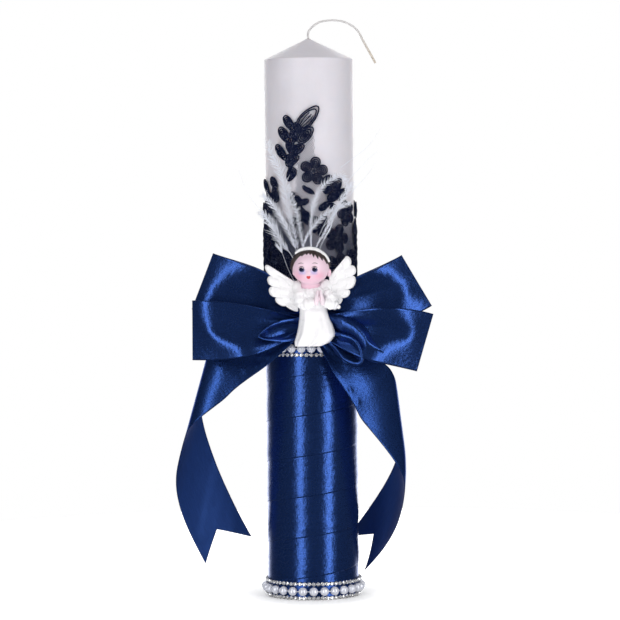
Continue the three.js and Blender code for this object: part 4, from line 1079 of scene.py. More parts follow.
class CandleBow(bpy.types.Operator):
    """Makes the knot, the four loops and the two short folds of the bow"""

    bl_idname = "candle.bow"
    bl_label = "Bow"

    def execute(self, context):
        ribbon = context.scene.candle_ribbon
        finishes = ribbon_finishes(ribbon)
        put("bow_knot_band", self.knot(), finishes, ["bow_knot"])
        for name, form in LOOPS.items():
            grid, uv, run, side = loop_grid(form, ribbon)
            piece = ribbon_piece(name, grid, uv, side, ribbon, finishes)
        self.fold("bow_fold_left_ribbon", self.leaf(), finishes, ["bow_fold_left"])
        self.fold("bow_fold_right_ribbon", self.drop(), finishes, ["bow_fold_right"])
        self.fold("bow_fold_right_ridge", self.ridge(), finishes, [])
        return {"FINISHED"}

    def fold(self, name, grid, finishes, nodes):
        """A folded piece of ribbon from its grid: its coordinates run across by the grid's mean width and
        along by the run down each column."""
        along = np.linalg.norm(np.diff(grid, axis=0), axis=-1)
        across = np.linalg.norm(np.diff(grid, axis=1), axis=-1)
        run = np.concatenate([np.zeros((1, grid.shape[1])), np.cumsum(along, axis=0)])
        width, long = across.sum(1), along.sum(0)
        uv = np.stack([np.linspace(0, 1, grid.shape[1])[None] * width.mean() + 0 * run, run], -1) * MM
        normal = np.cross(np.gradient(grid, axis=0), np.gradient(grid, axis=1))
        piece = put(name, cloth(grid, uv, 0.4, normal[..., 1].sum() < 0), finishes, nodes)

    def leaf(self):
        """A leaf between two curves: two round lips with a hollow between them, and walls that turn back
        outside them. It comes forward toward its tip by a fixed slope."""
        rows, cols, wall, slope = 60, 49, 4.5, 0.37
        top, foot = curve_through(LEAF_TOP, rows), curve_through(LEAF_FOOT, rows)
        a, v = np.linspace(0, 1, rows)[:, None], np.linspace(0, 1, cols)[None, :]
        share = 0.02 + 0.96 * smooth((v - 0.1) / 0.8)
        place = mixed(foot[:, None], top[:, None], share[..., None])
        back = wall * (1 - smooth(v / 0.13)) + wall * smooth((v - 0.87) / 0.13)
        forward = slope * np.maximum(-11 - place[..., 0], 0)
        shut = 1 - smooth((a - 0.74) / 0.24)
        hollow = (wall + forward * 0.85) * smooth((0.27 - np.abs(v - 0.5)) / 0.17) * shut
        y = FOLD_FRONT - forward + back + hollow + 0.15 * ripples(15, a * 30, v * 14, 16, 9, 5)
        return places(place[..., 0], y, place[..., 1])

    def drop(self):
        """A ribbon folded lengthwise round a drop: half a circle across its rim, a straight wall behind
        the outer side, and a wall on the inner side that slopes in toward the middle of the drop."""
        rows, cols, rim, wall, side_share, slant = 110, 29, 1.15, 5.0, 0.3, 4.0
        line = curve_through(DROP, rows)
        v = np.linspace(0, 1, cols)[None, :]
        turn = np.pi * np.clip((v - side_share) / (1 - 2 * side_share), 0, 1)
        outer, inner = (np.clip((side_share - share) / side_share, 0, 1) for share in (v, 1 - v))
        inward = slant * smooth((line[:, None, 0] - 10) / 12) * inner
        place = line[:, None] + beside(line)[:, None] * (rim * np.cos(turn) - inward)[..., None]
        x = place[..., 0]
        back = rim * (1 - np.sin(turn)) + wall * (outer + inner)
        y = FOLD_FRONT - 4.5 * smooth((x - 13) / 7) - 0.28 * np.maximum(x - 15, 0) + back
        return places(x, y, place[..., 1])

    def ridge(self):
        """A rounded ridge along a curve: it falls away as the square of the distance, slowly on its inner
        side."""
        rows, cols, width, crest, inner_fall, outer_fall = 80, 33, 13.5, 0.68, 0.075, 0.42
        line = curve_through(RIDGE, rows)
        off = width * (np.linspace(0, 1, cols)[None, :] - crest)
        place = line[:, None] + beside(line)[:, None] * off[..., None]
        fall = np.where(off < 0, inner_fall, outer_fall) * off ** 2
        x = place[..., 0]
        y = FOLD_FRONT - 4 * smooth((x - 13) / 8) - 0.24 * np.maximum(x - 15, 0) + fall
        return places(x, y + 0.4 * np.maximum(x - 36, 0), place[..., 1])

    def knot(self):
        """A band round the middle of the bow: a rounded oblong that narrows at its sides, with three soft
        folds."""
        share = np.linspace(-1, 1, 25)[:, None]
        turn = steps_round(64)[None, :]
        corner, half_width, narrowed, fold, folds = 0.42, 3.0, 0.16, 0.035, 1.6
        ahead, up = (np.sign(wave) * np.abs(wave) ** corner for wave in (np.cos(turn), np.sin(turn)))
        dy, dz = ahead * (KNOT_DEPTH / 2), up * KNOT_RISE
        size = 1 - narrowed * np.abs(share) ** 3 + fold * np.cos(TURN * folds * share)
        y = KNOT_BACK - KNOT_DEPTH / 2 + dy * (1 - 0.02 * np.abs(share))
        return tubes(places(KNOT[0] + half_width * share, y, KNOT[1] + dz * size))


def tail_grid(form, ribbon):
    """A tail: a flat strip bent round a cylinder whose straight lines slant across it.

    A place s along and w across the strip lies p = s sin + w cos across the straight lines and
    q = s cos - w sin along them. The bend's angle goes by p, and the profile is the running sum of its
    cosine and sine. The first part closes in on the knot, its inner edge is drawn outward, and the far end
    is cut to a V.
    """
    rows, cols, apart, closed_run = 240, 41, 0.5, 55
    held_low, held_proud, held_wide = 7.4, 6.2, 0.16
    side, seed = form["side"], form["seed"]
    tilt, strip = np.radians(form["rulings"]), np.radians(form["strip"])
    down = np.array([side * np.sin(tilt), -np.cos(tilt)])
    over = np.array([side * np.cos(tilt), np.sin(tilt)])
    axis = np.arange(-40, 200, apart)
    angle = np.pad(np.interp(axis, *form["turns"]), 3, "edge")
    angle = np.radians(np.convolve(angle, np.ones(7) / 7, "valid"))
    u = np.linspace(0, 1, rows)[:, None]
    v = np.linspace(0, 1, cols)[None, :]
    wide = (2 * v - 1) * ribbon.width / 2 / MM
    s = u * (form["length"] - TAIL_NOTCH * (1 - np.abs(2 * v - 1)))
    p = s * np.sin(strip) + wide * np.cos(strip)
    q = s * np.cos(strip) - wide * np.sin(strip)
    profiles = [np.concatenate([[0], np.cumsum(part * apart)[:-1]])
                for part in (np.cos(angle), np.sin(angle))]
    reach, depth = (np.interp(p, axis, profile) - np.interp(0, axis, profile) for profile in profiles)
    start = KNOT + form["start"]
    z = start[1] + down[1] * q + over[1] * reach
    sway = form["sway"] * (np.maximum(KNOT[1] - form["sway_drop"] - z, 0) / 100) ** 2
    x = start[0] + down[0] * q + over[0] * reach - side * sway
    y = KNOT_BACK - form["front"] + depth + form["lean"] * np.maximum(start[1] - z, 0)
    root = KNOT + (form["root"], -held_low)
    close = places(root[0] + down[0] * s / 2, KNOT_BACK - held_proud,
                   root[1] + wide * held_wide + down[1] * s / 2)
    grid = mixed(close, places(x, y, z), smooth(s / closed_run)[..., None])
    grid[..., 0] += side * form["draw"] * (1 - v) ** 1.5 * smooth(s / 26) * (1 - smooth((s - 38) / 28))
    drawn = smooth(s / 10) * (1 - smooth(s / 60))
    at_s, at_w, long, broad, height = form["crumple"]
    crumple = np.exp(-((s - at_s) / long) ** 2 - ((wide - at_w) / broad) ** 2)
    relief = 0.9 * np.cos(TURN * 1.7 * v + seed) * drawn
    relief = relief + 0.3 * ripples(seed, s, wide, 46, 40, 5) * smooth(s / 30)
    relief = relief + 0.12 * ripples(seed + 5, s, wide, 17, 20) * smooth((s - 90) / 30)
    relief = relief + height * ripples(seed + 9, s, wide, 9, 12, 6) * crumple
    for at_s, at_w in form["dents"]:
        relief = relief - 0.5 * hill(s, wide, at_s, at_w, 3.2, 3.2)
    grid[..., 1] += relief
    return grid, np.stack([wide + ribbon.width / 2 / MM + 0 * s, s], -1) * MM


class CandleTails(bpy.types.Operator):
    """Hangs the two tails of the bow, each bent over on itself and cut to a V"""

    bl_idname = "candle.tails"
    bl_label = "Bow tails"

    def execute(self, context):
        ribbon = context.scene.candle_ribbon
        for name, form in TAILS.items():
            grid, uv = tail_grid(form, ribbon)
            piece = ribbon_piece(name, grid, uv, form["side"], ribbon, ribbon_finishes(ribbon, True))
        return {"FINISHED"}


# Trims

def around(template, count, height, turned=0.0):
    """Copies of a small part evenly round the candle at a height; x is sideways, y out of the wax and z
    up."""
    turn = steps_round(count, turned)
    sideways, out = places(np.cos(turn), np.sin(turn), 0.0), ring_places(1.0, turn, 0.0)
    x, y, z = template.points.T[:, :, None]
    placed = x * sideways[:, None] + (TRIM_RADIUS + y) * out[:, None] + (height + z) * UP
    faces = [(repeated(corners, count, len(x)), slot) for corners, slot in template.faces]
    return Part(placed, faces, np.tile(template.uv, (count, 1)))


def turned_part(profile, sides, turned=0.0):
    """A small part turned about its own axis, which points out of the wax."""
    turn = steps_round(sides, turned)
    r, h = np.asarray(profile, float).T[:, :, None]
    return tubes(places(r * np.cos(turn), h, r * np.sin(turn)))


class CandleTrims(bpy.types.Operator):
    """Sets the pearl strings and the cut-stone chains round the foot and the middle"""

    bl_idname = "candle.trims"
    bl_label = "Pearl and stone trims"

    def execute(self, context):
        trim = context.scene.candle_trim
        pearl = plain_finish("pearl", trim.pearl, 0.2, 0.7, 0.006, 0.05, Metallic=0.3, Coat_Weight=1.0,
                             Coat_Roughness=0.06)
        metal = plain_finish("cup_metal", trim.metal, 0.25, 1.2, 0.01, 0.15, Metallic=1.0)
        stone = plain_finish("cut_stone", (0.92, 0.93, 0.96), 0.14, 0.8, 0.002, 0.04, Metallic=0.6,
                             Coat_Weight=0.8)
        radius, small = trim.pearl_diameter / 2 / MM, trim.stone_diameter / 2 / MM
        for place, height, pearls, stones in (("base", 5.9, 28, 64), ("mid", 170.1, 30, 60)):
            thread = hoop(TRIM_RADIUS + 0.9, height, 0.35, 120, 6)
            string = joined([self.pearls(radius, pearls, height), thread])
            put(f"{place}_pearls", string, [pearl], [f"{place}_pearl_string"])
            for side, rise in (("lower", -(radius + small + GAP)), ("upper", 5.0)):
                part = self.chain(small, stones, height + rise)
                put(f"{place}_stones_{side}", part, [stone, metal],
                    [f"{place}_stone_chain_{side}"], flat=True)
        return {"FINISHED"}

    def pearls(self, radius, count, height):
        """Balls, by the sine and cosine of latitude, whose backs are cut flat where they lie on the
        ribbon."""
        sunk, flat_at, sides = 0.9, radius * 0.62, 22
        lat = np.linspace(0.02, np.pi - 0.02, 17)
        shape = np.stack([np.sin(lat) * radius, np.maximum(-np.cos(lat) * radius, -flat_at)], -1)
        return around(turned_part(shape + (0, flat_at - sunk), sides), count, height)

    def chain(self, radius, count, height):
        """Cut stones and their cups, eight-sided turned profiles of radii and heights over the ribbon, on a
        thin metal base. The cup is turned half a side against the stone."""
        sides = 8
        cut = [(POLE, 0.3), (radius * 0.86, 0.35), (radius * 0.96, 0.75), (radius * 0.62, 1.35),
               (POLE, 1.42)]
        cup = [(POLE, -0.35), (radius * 1.02, -0.35), (radius * 1.12, 0.6), (radius * 0.98, 0.72),
               (POLE, 0.5)]
        stone = around(turned_part(cut, sides), count, height)
        holder = around(turned_part(cup, sides, 0.5), count, height).using(1)
        return joined([stone, holder, hoop(TRIM_RADIUS + 0.2, height, 0.55, 128, 4, 0.5).using(1)])


# Lace

def on_candle(s, z, radius):
    """Places at a distance round from the front and a height, at a radius from the axis."""
    return ring_places(radius, s / LACE_RADIUS, z)


def round_wax(x):
    """Distance round the wax of a place seen at x from the front: the radius times the arc sine."""
    return LACE_RADIUS * np.arcsin(np.clip(np.asarray(x) / SEEN_RADIUS, -1, 1))


def laid(s, z, lean, along, across):
    """Places along and across a line that leans from upright, turned about its middle by sine and
    cosine."""
    sin, cos = np.sin(lean), np.cos(lean)
    return s + sin * along + cos * across, z + cos * along - sin * across


def by_flower(s, z, clear, reach=1):
    """Whether a place lies within clear millimetres of one of the spray's flowers, or of its reach."""
    return any(np.hypot(s - round_wax(x), z - height) < clear + reach * (far + petal)
               for x, height, far, petal, _ in SPRAY_FLOWERS)


def band_places(count, shift):
    """Even distances round the wax, between the middle of the back and itself."""
    return [((k + shift) * LACE_ROUND / count + BACK_SEAM) % LACE_ROUND - BACK_SEAM for k in range(count)]


def lace_top(degrees):
    """Height of the net's top edge: its side height plus the highest of the scallops there."""
    rises = []
    for place, rise, half in SCALLOPS:
        away = np.abs((degrees - place + 540) % 360 - 180)
        rises.append(rise * smooth(1.5 - 1.5 * away / half / 1.4))
    return BAND_FOOT + 80.7 + np.max(rises, axis=0)


class CandleLace(bpy.types.Operator):
    """Lays the net round the wax and sews the corded leaves and flowers on it"""

    bl_idname = "candle.lace"
    bl_label = "Lace"

    def execute(self, context):
        lace = context.scene.candle_lace
        cord = lace.cord / 2 / MM
        flowers = np.array([(round_wax(f[0]), *f[1:]) for f in SPRAY_FLOWERS] + self.band_flowers())
        leaves = [self.leaf_between(*leaf) for leaf in SPRAY_LEAVES] + self.band_leaves()
        open_leaf = np.array([self.leaf_between(*OPEN_LEAF)])
        parts = [
            *self.petals(flowers, cord),
            self.leaves(np.array(leaves), (1.0, 0.74, 0.48, 0.24, 0.06), cord),
            self.leaves(open_leaf, (1.0, 0.78), cord),
            *self.open_lines(*open_leaf[0], cord * 0.7),
        ]
        stem = curve_through(SPRAY_STEM, 90)
        parts += [self.run_of_cord(round_wax(stem[:, 0] + shift), stem[:, 1], cord)
                  for shift in (-0.6, 0.6)]
        edge = LACE_ROUND * np.arange(160)[None] / 160
        parts.append(self.motif(edge, np.full_like(edge, BAND_FOOT + 1.1), cord, np.zeros_like(edge)))
        thread, net_thread = (self.thread_finish(name, base, glints) for name, base, glints in (
            ("lace_thread", lace.thread, 0.5), ("net_thread", lace.net, 0.1)))
        motifs = put("lace_motifs", joined(parts), [thread], ["lace_spray"])
        net = put("lace_net", self.net(lace), [net_thread], ["lace_band"])
        return {"FINISHED"}

    def leaf_between(self, x0, z0, x1, z1, wide):
        """A leaf's middle, length, width and lean in degrees, from its two ends."""
        s0, s1 = round_wax(x0), round_wax(x1)
        long = np.hypot(s1 - s0, z1 - z0)
        return (s0 + s1) / 2, (z0 + z1) / 2, long, wide, np.degrees(np.arctan2(s1 - s0, z1 - z0))

    def open_lines(self, s, z, long, wide, lean, cord):
        """Three cords along the lower part of the open leaf, bowed by the sine of their run."""
        t = np.linspace(-0.42, 0.16, 30)
        bow = 0.9 * wide * np.sin(np.pi * (t + 0.5))
        return [self.run_of_cord(*laid(s, z, np.radians(lean), t * long, off * bow), cord)
                for off in (-0.22, 0.0, 0.22)]

    def thread_finish(self, name, base, glint_share):
        """Dark thread with the light and shade of its twist, and pale flecks where the noise is highest,
        which are painted glints of light on the cord."""
        base = tuple(base)
        material = finish(name, base, 0.7, Specular_IOR_Level=0.02)
        place = millimetres(material, "Object")
        twist = noise(material, place, 2.6, 2)
        shade = mottled(material, twist, base, 0.5, 1.7)
        # Painted highlight: pale glints on the thread where the noise is highest.
        fleck = ranged(material, noise(material, place, 1.5, 1), 0, glint_share, 0.6, 0.68)
        feed(material, "Base Color", mix_colours(material, fleck, shade, (0.24, 0.26, 0.34)))
        feed(material, "Normal", emboss(material, twist, 0.25))
        return material

    def net(self, lace):
        """Two families of thin flat threads that climb round the wax at 45 degrees, cut at the net's top
        edge. They are up to four times as wide low down and to the left, where the real net lies double;
        there the wider threads also darken the band as painted shade."""
        pitch, half = lace.net_pitch / MM * np.sqrt(2), lace.net_thread / 2 / MM
        count = int(round(LACE_ROUND / pitch))
        z = np.arange(BAND_FOOT, 330, 2.4)
        rows = len(z)
        start = (np.arange(count) / count * LACE_ROUND)[:, None]
        parts = []
        for lean in (-1, 1):
            s = start + lean * (z - BAND_FOOT)[None, :]
            degrees = (np.degrees(s / LACE_RADIUS) + 180) % 360 - 180
            kept = z[None, :] < lace_top(degrees)
            # Wider threads lower down and to the left: partly the net lying double, partly painted shade.
            doubled_and_shaded = smooth((266 - z - 6 * np.cos(np.radians(degrees - 20))) / 20)
            doubled_and_shaded = doubled_and_shaded * (1.5 + 1.5 * smooth((-degrees - 5) / 35))
            step = half * np.sqrt(0.5) * (1 + doubled_and_shaded)
            edges = [on_candle(s + side * step, z[None, :] - side * lean * step, NET_RADIUS + 0.05 * lean)
                     for side in (-1, 1)]
            i, j = np.nonzero(kept[:, :-1] & kept[:, 1:])
            at = (i * rows + j) * 2
            used, compact = np.unique(np.stack([at, at + 1, at + 3, at + 2], -1), return_inverse=True)
            points, faces = np.stack(edges, 2).reshape(-1, 3)[used], compact.reshape(-1, 4)
            p = points[faces]
            normal = np.cross(p[:, 1] - p[:, 0], p[:, 2] - p[:, 1])
            inwards = np.einsum("ij,ij->i", normal, p[:, 0] * (1, 1, 0)) < 0
            parts.append(Part(points, [(faces[:, ::-1] if inwards.mean() > 0.5 else faces, 0)]))
        return joined(parts)

    def motif(self, s, z, cord, lift):
        """Endless cords on the wax along closed flat paths, each raised by its lift."""
        s, z, lift = (a.reshape(-1, s.shape[-1]) for a in np.broadcast_arrays(s, z, lift))
        path = on_candle(s, z, CORD_BED + cord + lift)
        return loops_of_cord(path, cord, 5, unit(path * (1, 1, 0)), 0.85)

    def leaves(self, leaves, scales, cord):
        """Nested leaf outlines: across is the sine of the turn, narrowed toward the tip, and along the
        cosine."""
        turn = steps_round(18)
        size = np.array(scales)[None, :, None]
        s, z, long, wide, lean = leaves.T[:, :, None, None]
        along = np.cos(turn) * (long / 2 - cord) * size - (1 - size) * long * 0.06
        across = np.sin(turn) * (1 - 0.22 * np.cos(turn)) * np.maximum(wide / 2 * size - cord * 0.7, 0.25)
        return self.motif(*laid(s, z, np.radians(lean), along, across), cord, (1 - size) * 0.5)

    def petals(self, flowers, cord):
        """Five round petals about each flower's middle, each of three nested rings of cord, and a small
        boss."""
        s, z, reach, petal, first = flowers.T[:, :, None, None, None]
        bearing = steps_round(5)[None, :, None, None] + first
        turn = steps_round(14)
        size = np.array([0.88, 0.56, 0.24])[None, None, :, None]
        out = reach + petal * 1.12 * size * np.cos(turn)
        off = petal * 0.94 * size * np.sin(turn) * (1 + 0.16 * np.cos(turn))
        rings = self.motif(*laid(s, z, bearing, out, off), cord, (1 - size) * 0.55)
        middle = steps_round(10)
        boss_s, boss_z = flowers[:, :1] + 0.75 * np.sin(middle), flowers[:, 1:2] + 0.75 * np.cos(middle)
        return [rings, self.motif(boss_s, boss_z, cord, 0.3)]

    def run_of_cord(self, s, z, cord):
        """A cord with two ends on the wax."""
        path = on_candle(s, z, CORD_BED + cord)
        return tubes(rings_round(path, cord, 6, unit(path * (1, 1, 0)), flatten=0.85))

    def band_flowers(self):
        """Flowers in four staggered rows all round, left out where the spray and its own flowers lie."""
        return [(s, z, 6.2, 4.2, 0.7 * k + 1.1 * row)
                for row, z in enumerate((186.5, 205.0, 223.5, 242.0))
                for k, s in enumerate(band_places(10, 0.5 * (row % 2)))
                if not (by_flower(s, z, 12.5, 0) or (-12 < s < 14 and z > 230))]

    def band_leaves(self):
        """Leaves between the flowers, and taller ones that make the scalloped top edge."""
        between = [(s, z, 9.5, 5.0, 55 if (k + row) % 2 else -55)
                   for row, z in enumerate((195.8, 214.3, 232.8))
                   for k, s in enumerate(band_places(20, 0.25))
                   if not (by_flower(s, z, 2) or (-12 < s < 14 and z > 228))]
        tops = [(k, s, float(lace_top(np.degrees(s / LACE_RADIUS))))
                for k, s in enumerate(band_places(26, 0.5))]
        return between + [(s, top - 6.5, 12, 6.4, 18 if k % 2 else -18)
                          for k, s, top in tops if abs(s) > 24 and not by_flower(s, top - 6, 0)]


# Angel

def face_relief(x, z):
    """How far the cheeks, at both sides of the mouth, and the brow stand out: soft round hills."""
    cheeks = sum(0.7 * hill(x, z, middle, 219.6, 18, 18) for middle in (-6.6, 5.4))
    return cheeks + 0.35 * hill(x, z, -1.4, 229.5, 40, 12)


def face_y(x, z):
    """Depth of the head's front: the ellipsoid's, less the relief of the face."""
    u, w = (x - HEAD[0]) / HEAD_RADII[0], (z - HEAD[2]) / HEAD_RADII[2]
    return HEAD[1] - HEAD_RADII[1] * np.sqrt(np.maximum(1 - u * u - w * w, 0.0)) - face_relief(x, z)


def backed(points):
    """The points, with none behind the angel's flat back."""
    points[..., 1] = np.minimum(points[..., 1], ANGEL_BACK)
    return points


def patch(x, z, rx, rz, raised, turn=0.0, rings=5, sides=28):
    """A painted spot on the face: an ellipse of places laid on the head's front and raised a little."""
    size = np.linspace(0.04, 1, rings)[:, None]
    angle = steps_round(sides)[None, :]
    px, pz = rx * size * np.cos(angle), rz * size * np.sin(angle)
    px, pz = x + px * np.cos(turn) - pz * np.sin(turn), z + px * np.sin(turn) + pz * np.cos(turn)
    top = places(px, face_y(px, pz) - raised * (1 - 0.8 * size ** 4), pz)
    return tubes(np.concatenate([top, top[-1:] + (0, 0.4, 0)]))


def face_line(middle, height, bend, tilt, raised, thick, taper, least):
    """A painted line over an eye: its height falls as the square of the distance from its middle, and so
    does its thickness."""
    x = np.linspace(-1.9, 1.9, 24)
    z = height - bend * x ** 2 + tilt * x
    line = places(middle + x, face_y(middle + x, z) - raised, z)
    return tubes(rings_round(line, thick * (1 - (x / taper) ** 2) + least, 8))


class CandleAngel(bpy.types.Operator):
    """Models the praying angel: robe, sleeves, wings, head, hair, headband, hands and the painted face"""

    bl_idname = "candle.angel"
    bl_label = "Angel"

    def execute(self, context):
        angel = context.scene.candle_angel
        resin = plain_finish("resin", angel.resin, 0.3, 0.6, 0.03, 0.015, Coat_Weight=0.3,
                             Coat_Roughness=0.12, Subsurface_Weight=0.1,
                             Subsurface_Radius=(0.002, 0.002, 0.002))
        skin = painted_finish("painted_skin", 0.38)
        gown = joined([self.robe(), *self.sleeves(), self.bib(), *self.balls()])
        put("angel_gown", gown, [resin], ["angel_robe"])
        for name, wing in WINGS.items():
            put(f"{name}_feathers", self.wing(wing), [resin], [name])
        put("angel_face", self.head(angel), [skin], ["angel_head"])
        hair = plain_finish("painted_hair", angel.hair, 0.45, 1.2, 0.1, 0.3, Coat_Weight=0.2)
        put("angel_curls", self.hair(), [hair], ["angel_hair"])
        put("angel_garland", self.garland(), [resin], ["angel_headband"])
        put("angel_palms", self.hands(angel), [skin], ["angel_hands"])
        self.face(angel, hair)
        return {"FINISHED"}

    def robe(self):
        """Cross-sections from hem to neck: half an ellipse in front, flat behind, with folds that deepen
        downward as the sine of a few waves round, a gathered waist and a knee."""
        heights, *outline = np.array(ROBE).T
        waist_height, skirt, drawn_in = 197, 24, 1.0
        z = np.linspace(heights[0], heights[-1], 90)[:, None]
        outline = [np.pad(np.interp(z[:, 0], heights, line), 3, "edge") for line in outline]
        left, right, depth = (np.convolve(line, np.ones(7) / 7, "valid")[:, None] for line in outline)
        turn = np.linspace(0, np.pi, 97)[None, :]
        down = np.clip((waist_height - z) / skirt, 0, 1)
        lean = turn + 0.22 * (waist_height - z) / skirt
        fold = down ** 0.7 * (0.75 * np.sin(7.3 * lean + 0.6) + 0.4 * np.sin(13.1 * lean + 2.0))
        cape = smooth((z - 198) / 2) * (0.35 * np.sin(16 * turn + 0.05 * z))
        knee = 2.2 * hill(turn, z, 2.35, 180.5, 0.45 ** 2, 6 ** 2)
        waist = drawn_in * np.exp(-((z - 198.3) / 1.6) ** 2)
        bulge = np.sin(turn) ** 0.8 * (depth - waist) + np.sin(turn) * (fold + cape + knee)
        half = (right - left) / 2
        x = (left + right) / 2 - (half + 0.25 * fold * np.abs(np.cos(turn))) * np.cos(turn)
        front = places(x, ANGEL_BACK - bulge, z)
        back = front[:, ::-8][:, 1:-1].copy()
        back[..., 1] = ANGEL_BACK
        return tubes(np.concatenate([front, back], 1))

    def sleeves(self):
        """Two wide sleeves: tubes from shoulder over elbow to wrist, widest at the cuff, with rings of
        folds, the sine of their run."""
        hands = np.array([HANDS_X + 0.1, ANGEL_BACK - 11.7, 205.0])
        run = np.linspace(0, 1, 44)
        radius = np.interp(run, [0, 0.4, 0.75, 1], [3.6, 3.8, 3.7, 2.6]) + 0.28 * np.sin(run * 46)
        radius[[0, -1]] = 1.4, 2.2
        parts = []
        for side, elbow_reach in ((-1, -11.4), (1, 9.2)):
            shoulder = np.array([0.8 + side * 8.4, ANGEL_BACK - 4.6, 209.4])
            elbow = hands + (elbow_reach, 4.6, -4.0)
            wrist = hands + (side * 2.9, 0.6, -2.2)
            upper = mixed(shoulder, elbow, 0.5) + (side * 0.8, -1.5, 0)
            lower = mixed(elbow, wrist, 0.5) + (0, -0.6, -0.5)
            path = curve_through([shoulder, upper, elbow, lower, wrist], len(run))
            parts.append(tubes(rings_round(path, radius, 26, UP)))
        return parts

    def bib(self):
        """The full front of the robe under the chin: a flattened ball with soft ruffles down it."""
        lat, lon = latitudes(60), steps_round(120)[None, :]
        ruffle = 1 + 0.035 * np.sin(15 * lon + 2.5 * lat) * np.cos(lat) + 0.02 * np.sin(24 * lat + 3 * lon)
        reach = ball_places(lat, lon) * (10.4, 6.6, 6.6) * ruffle[..., None]
        return tubes(backed(np.array([0.9, ANGEL_BACK - 4.2, 206.8]) + reach))

    def balls(self):
        """A bead at the sleeve, and full round shoulders beside the neck."""
        return [ball((18.3, ANGEL_BACK - 9.6, 199.0), (1.35, 1.35, 1.35), 14, 18),
                ball((-8.4, ANGEL_BACK - 3.2, 211.6), (4.4, 3.2, 5.0), 20, 28),
                ball((9.8, ANGEL_BACK - 3.2, 211.8), (4.6, 3.2, 5.4), 20, 28)]

    def wing(self, wing):
        """A wing between its inner edge and its lobed outer edge. Each lobe swings from valley over tip
        to valley as a round arc. The front rises in three rows of feathers, each feather a ridge that
        runs to its lobe, the sine of the place within it."""
        valleys, tips = np.array(wing["valleys"]), np.array(wing["tips"])
        steps = 18
        t = np.linspace(0, np.pi, steps, endpoint=False)[:, None]
        arcs = [(a + b) / 2 + (a - b) / 2 * np.cos(t) + (tip - (a + b) / 2) * np.sin(t) ** 0.8
                for a, b, tip in zip(valleys[:-1], valleys[1:], tips)]
        outer = np.vstack([*arcs, valleys[-1]])
        inner = curve_through(wing["inner"], len(outer))
        share = np.linspace(0, 1, 40)[None, :]
        phase = np.arange(len(outer))[:, None] / steps
        place = mixed(inner[:, None], outer[:, None], share[..., None])
        third = share * 3
        ridge = np.abs(np.sin(np.pi * (phase + 0.5 * np.floor(third)))) ** 0.6
        row = 1 - (third - np.floor(np.minimum(third, 2.999)))
        height = 1.4 + 1.5 * (1 - share) + 0.52 * ridge * smooth(share * 5)
        height = height + 0.38 * row * smooth(share * 8)
        barbs = 0.15 * np.sin(TURN * (share * 16 + 1.4 * np.abs((phase % 1) - 0.5)))
        rim = smooth((1 - share) * 9) ** 0.5
        back, least, at_rim = ANGEL_BACK - 0.7, 0.5, 0.25
        y = back - least - (height + barbs) * mixed(at_rim, 1, rim)
        x, z = place[..., 0], place[..., 1]
        return shell(places(x, y, z), places(x, back, z)).outward()

    def head(self, angel):
        """The ellipsoid of the head with cheeks, nose, chin, ears and neck, and its paint by soft
        spots."""
        shape = ball_places(latitudes(110), steps_round(160)[None, :])
        skull = HEAD + shape * HEAD_RADII
        x, z = skull[..., 0], skull[..., 2]
        nose = 0.85 * hill(x, z, -1.5, 221.9, 1.6, 2.2)
        skull[..., 1] -= np.where(shape[..., 1] < 0, face_relief(x, z) + nose, 0)
        neck = ball((-0.2, HEAD[1] + 1.6, 213.4), (6.3, 4.6, 4.8), 24, 48)
        backed(neck.points)
        part = joined([tubes(backed(skull)), self.ear(-1, -11.0, 0.6), self.ear(1, 12.2, 1), neck])
        part.paint = self.face_paint(part.points, angel)
        return part

    def ear(self, side, x, size):
        """A small ellipsoid at the side of the head with a hollow pressed into its front."""
        ear = ball((x, HEAD[1] - 0.2, 221.6), (1.5 * size, 1.9, 2.7 * size), 18, 22)
        hollow = hill(ear.points[:, 0], ear.points[:, 2], x + side * 0.5, 221.8, 1.2, 1.2)
        ear.points[:, 1] += 0.8 * hollow * (ear.points[:, 1] < HEAD[1])
        return ear

    def face_paint(self, points, angel):
        """Skin, with blush on cheeks, mouth, neck and ears, a blue shade round the eyes, a painted
        highlight on the brow and a dark crevice beside the neck: each a soft spot or a soft edge."""
        x, y, z = points.T
        in_front = y < HEAD[1]
        red = sum(0.9 * hill(x, z, middle, 219.8, 16, 9) for middle in (-7.8, 5.4))
        red = red + 0.35 * hill(x, z, -1.4, 216.6, 30, 6) + 0.45 * smooth((214.6 - z) / 2)
        red = red + 0.3 * smooth(np.abs(x) - 11.5)
        blue = sum(0.6 * np.exp(-(((x - middle) / 2.3) ** 4 + ((z - height) / 1.7) ** 4))
                   for middle, height in ((-5.4, 222.4), (2.3, 222.3)))
        crevice = 0.75 * smooth((217.4 - z) / 1.5) * smooth((np.abs(x - 0.3) - 5.6) / 2.2)
        # Painted highlight: the front of the brow is lightened as if the light falls on it.
        pale = 0.055 * hill(x, z, -2, 229, 60, 14)
        paint = np.array(angel.skin)
        for shade, share in ((angel.blush, np.clip(red, 0, 1) * 0.75), (angel.eye_shade, blue * in_front),
                             ((0.26, 0.13, 0.14), crevice)):
            paint = mixed(paint, np.array(shade), share[:, None])
        return np.clip(paint + (pale * in_front)[:, None], 0, 1)

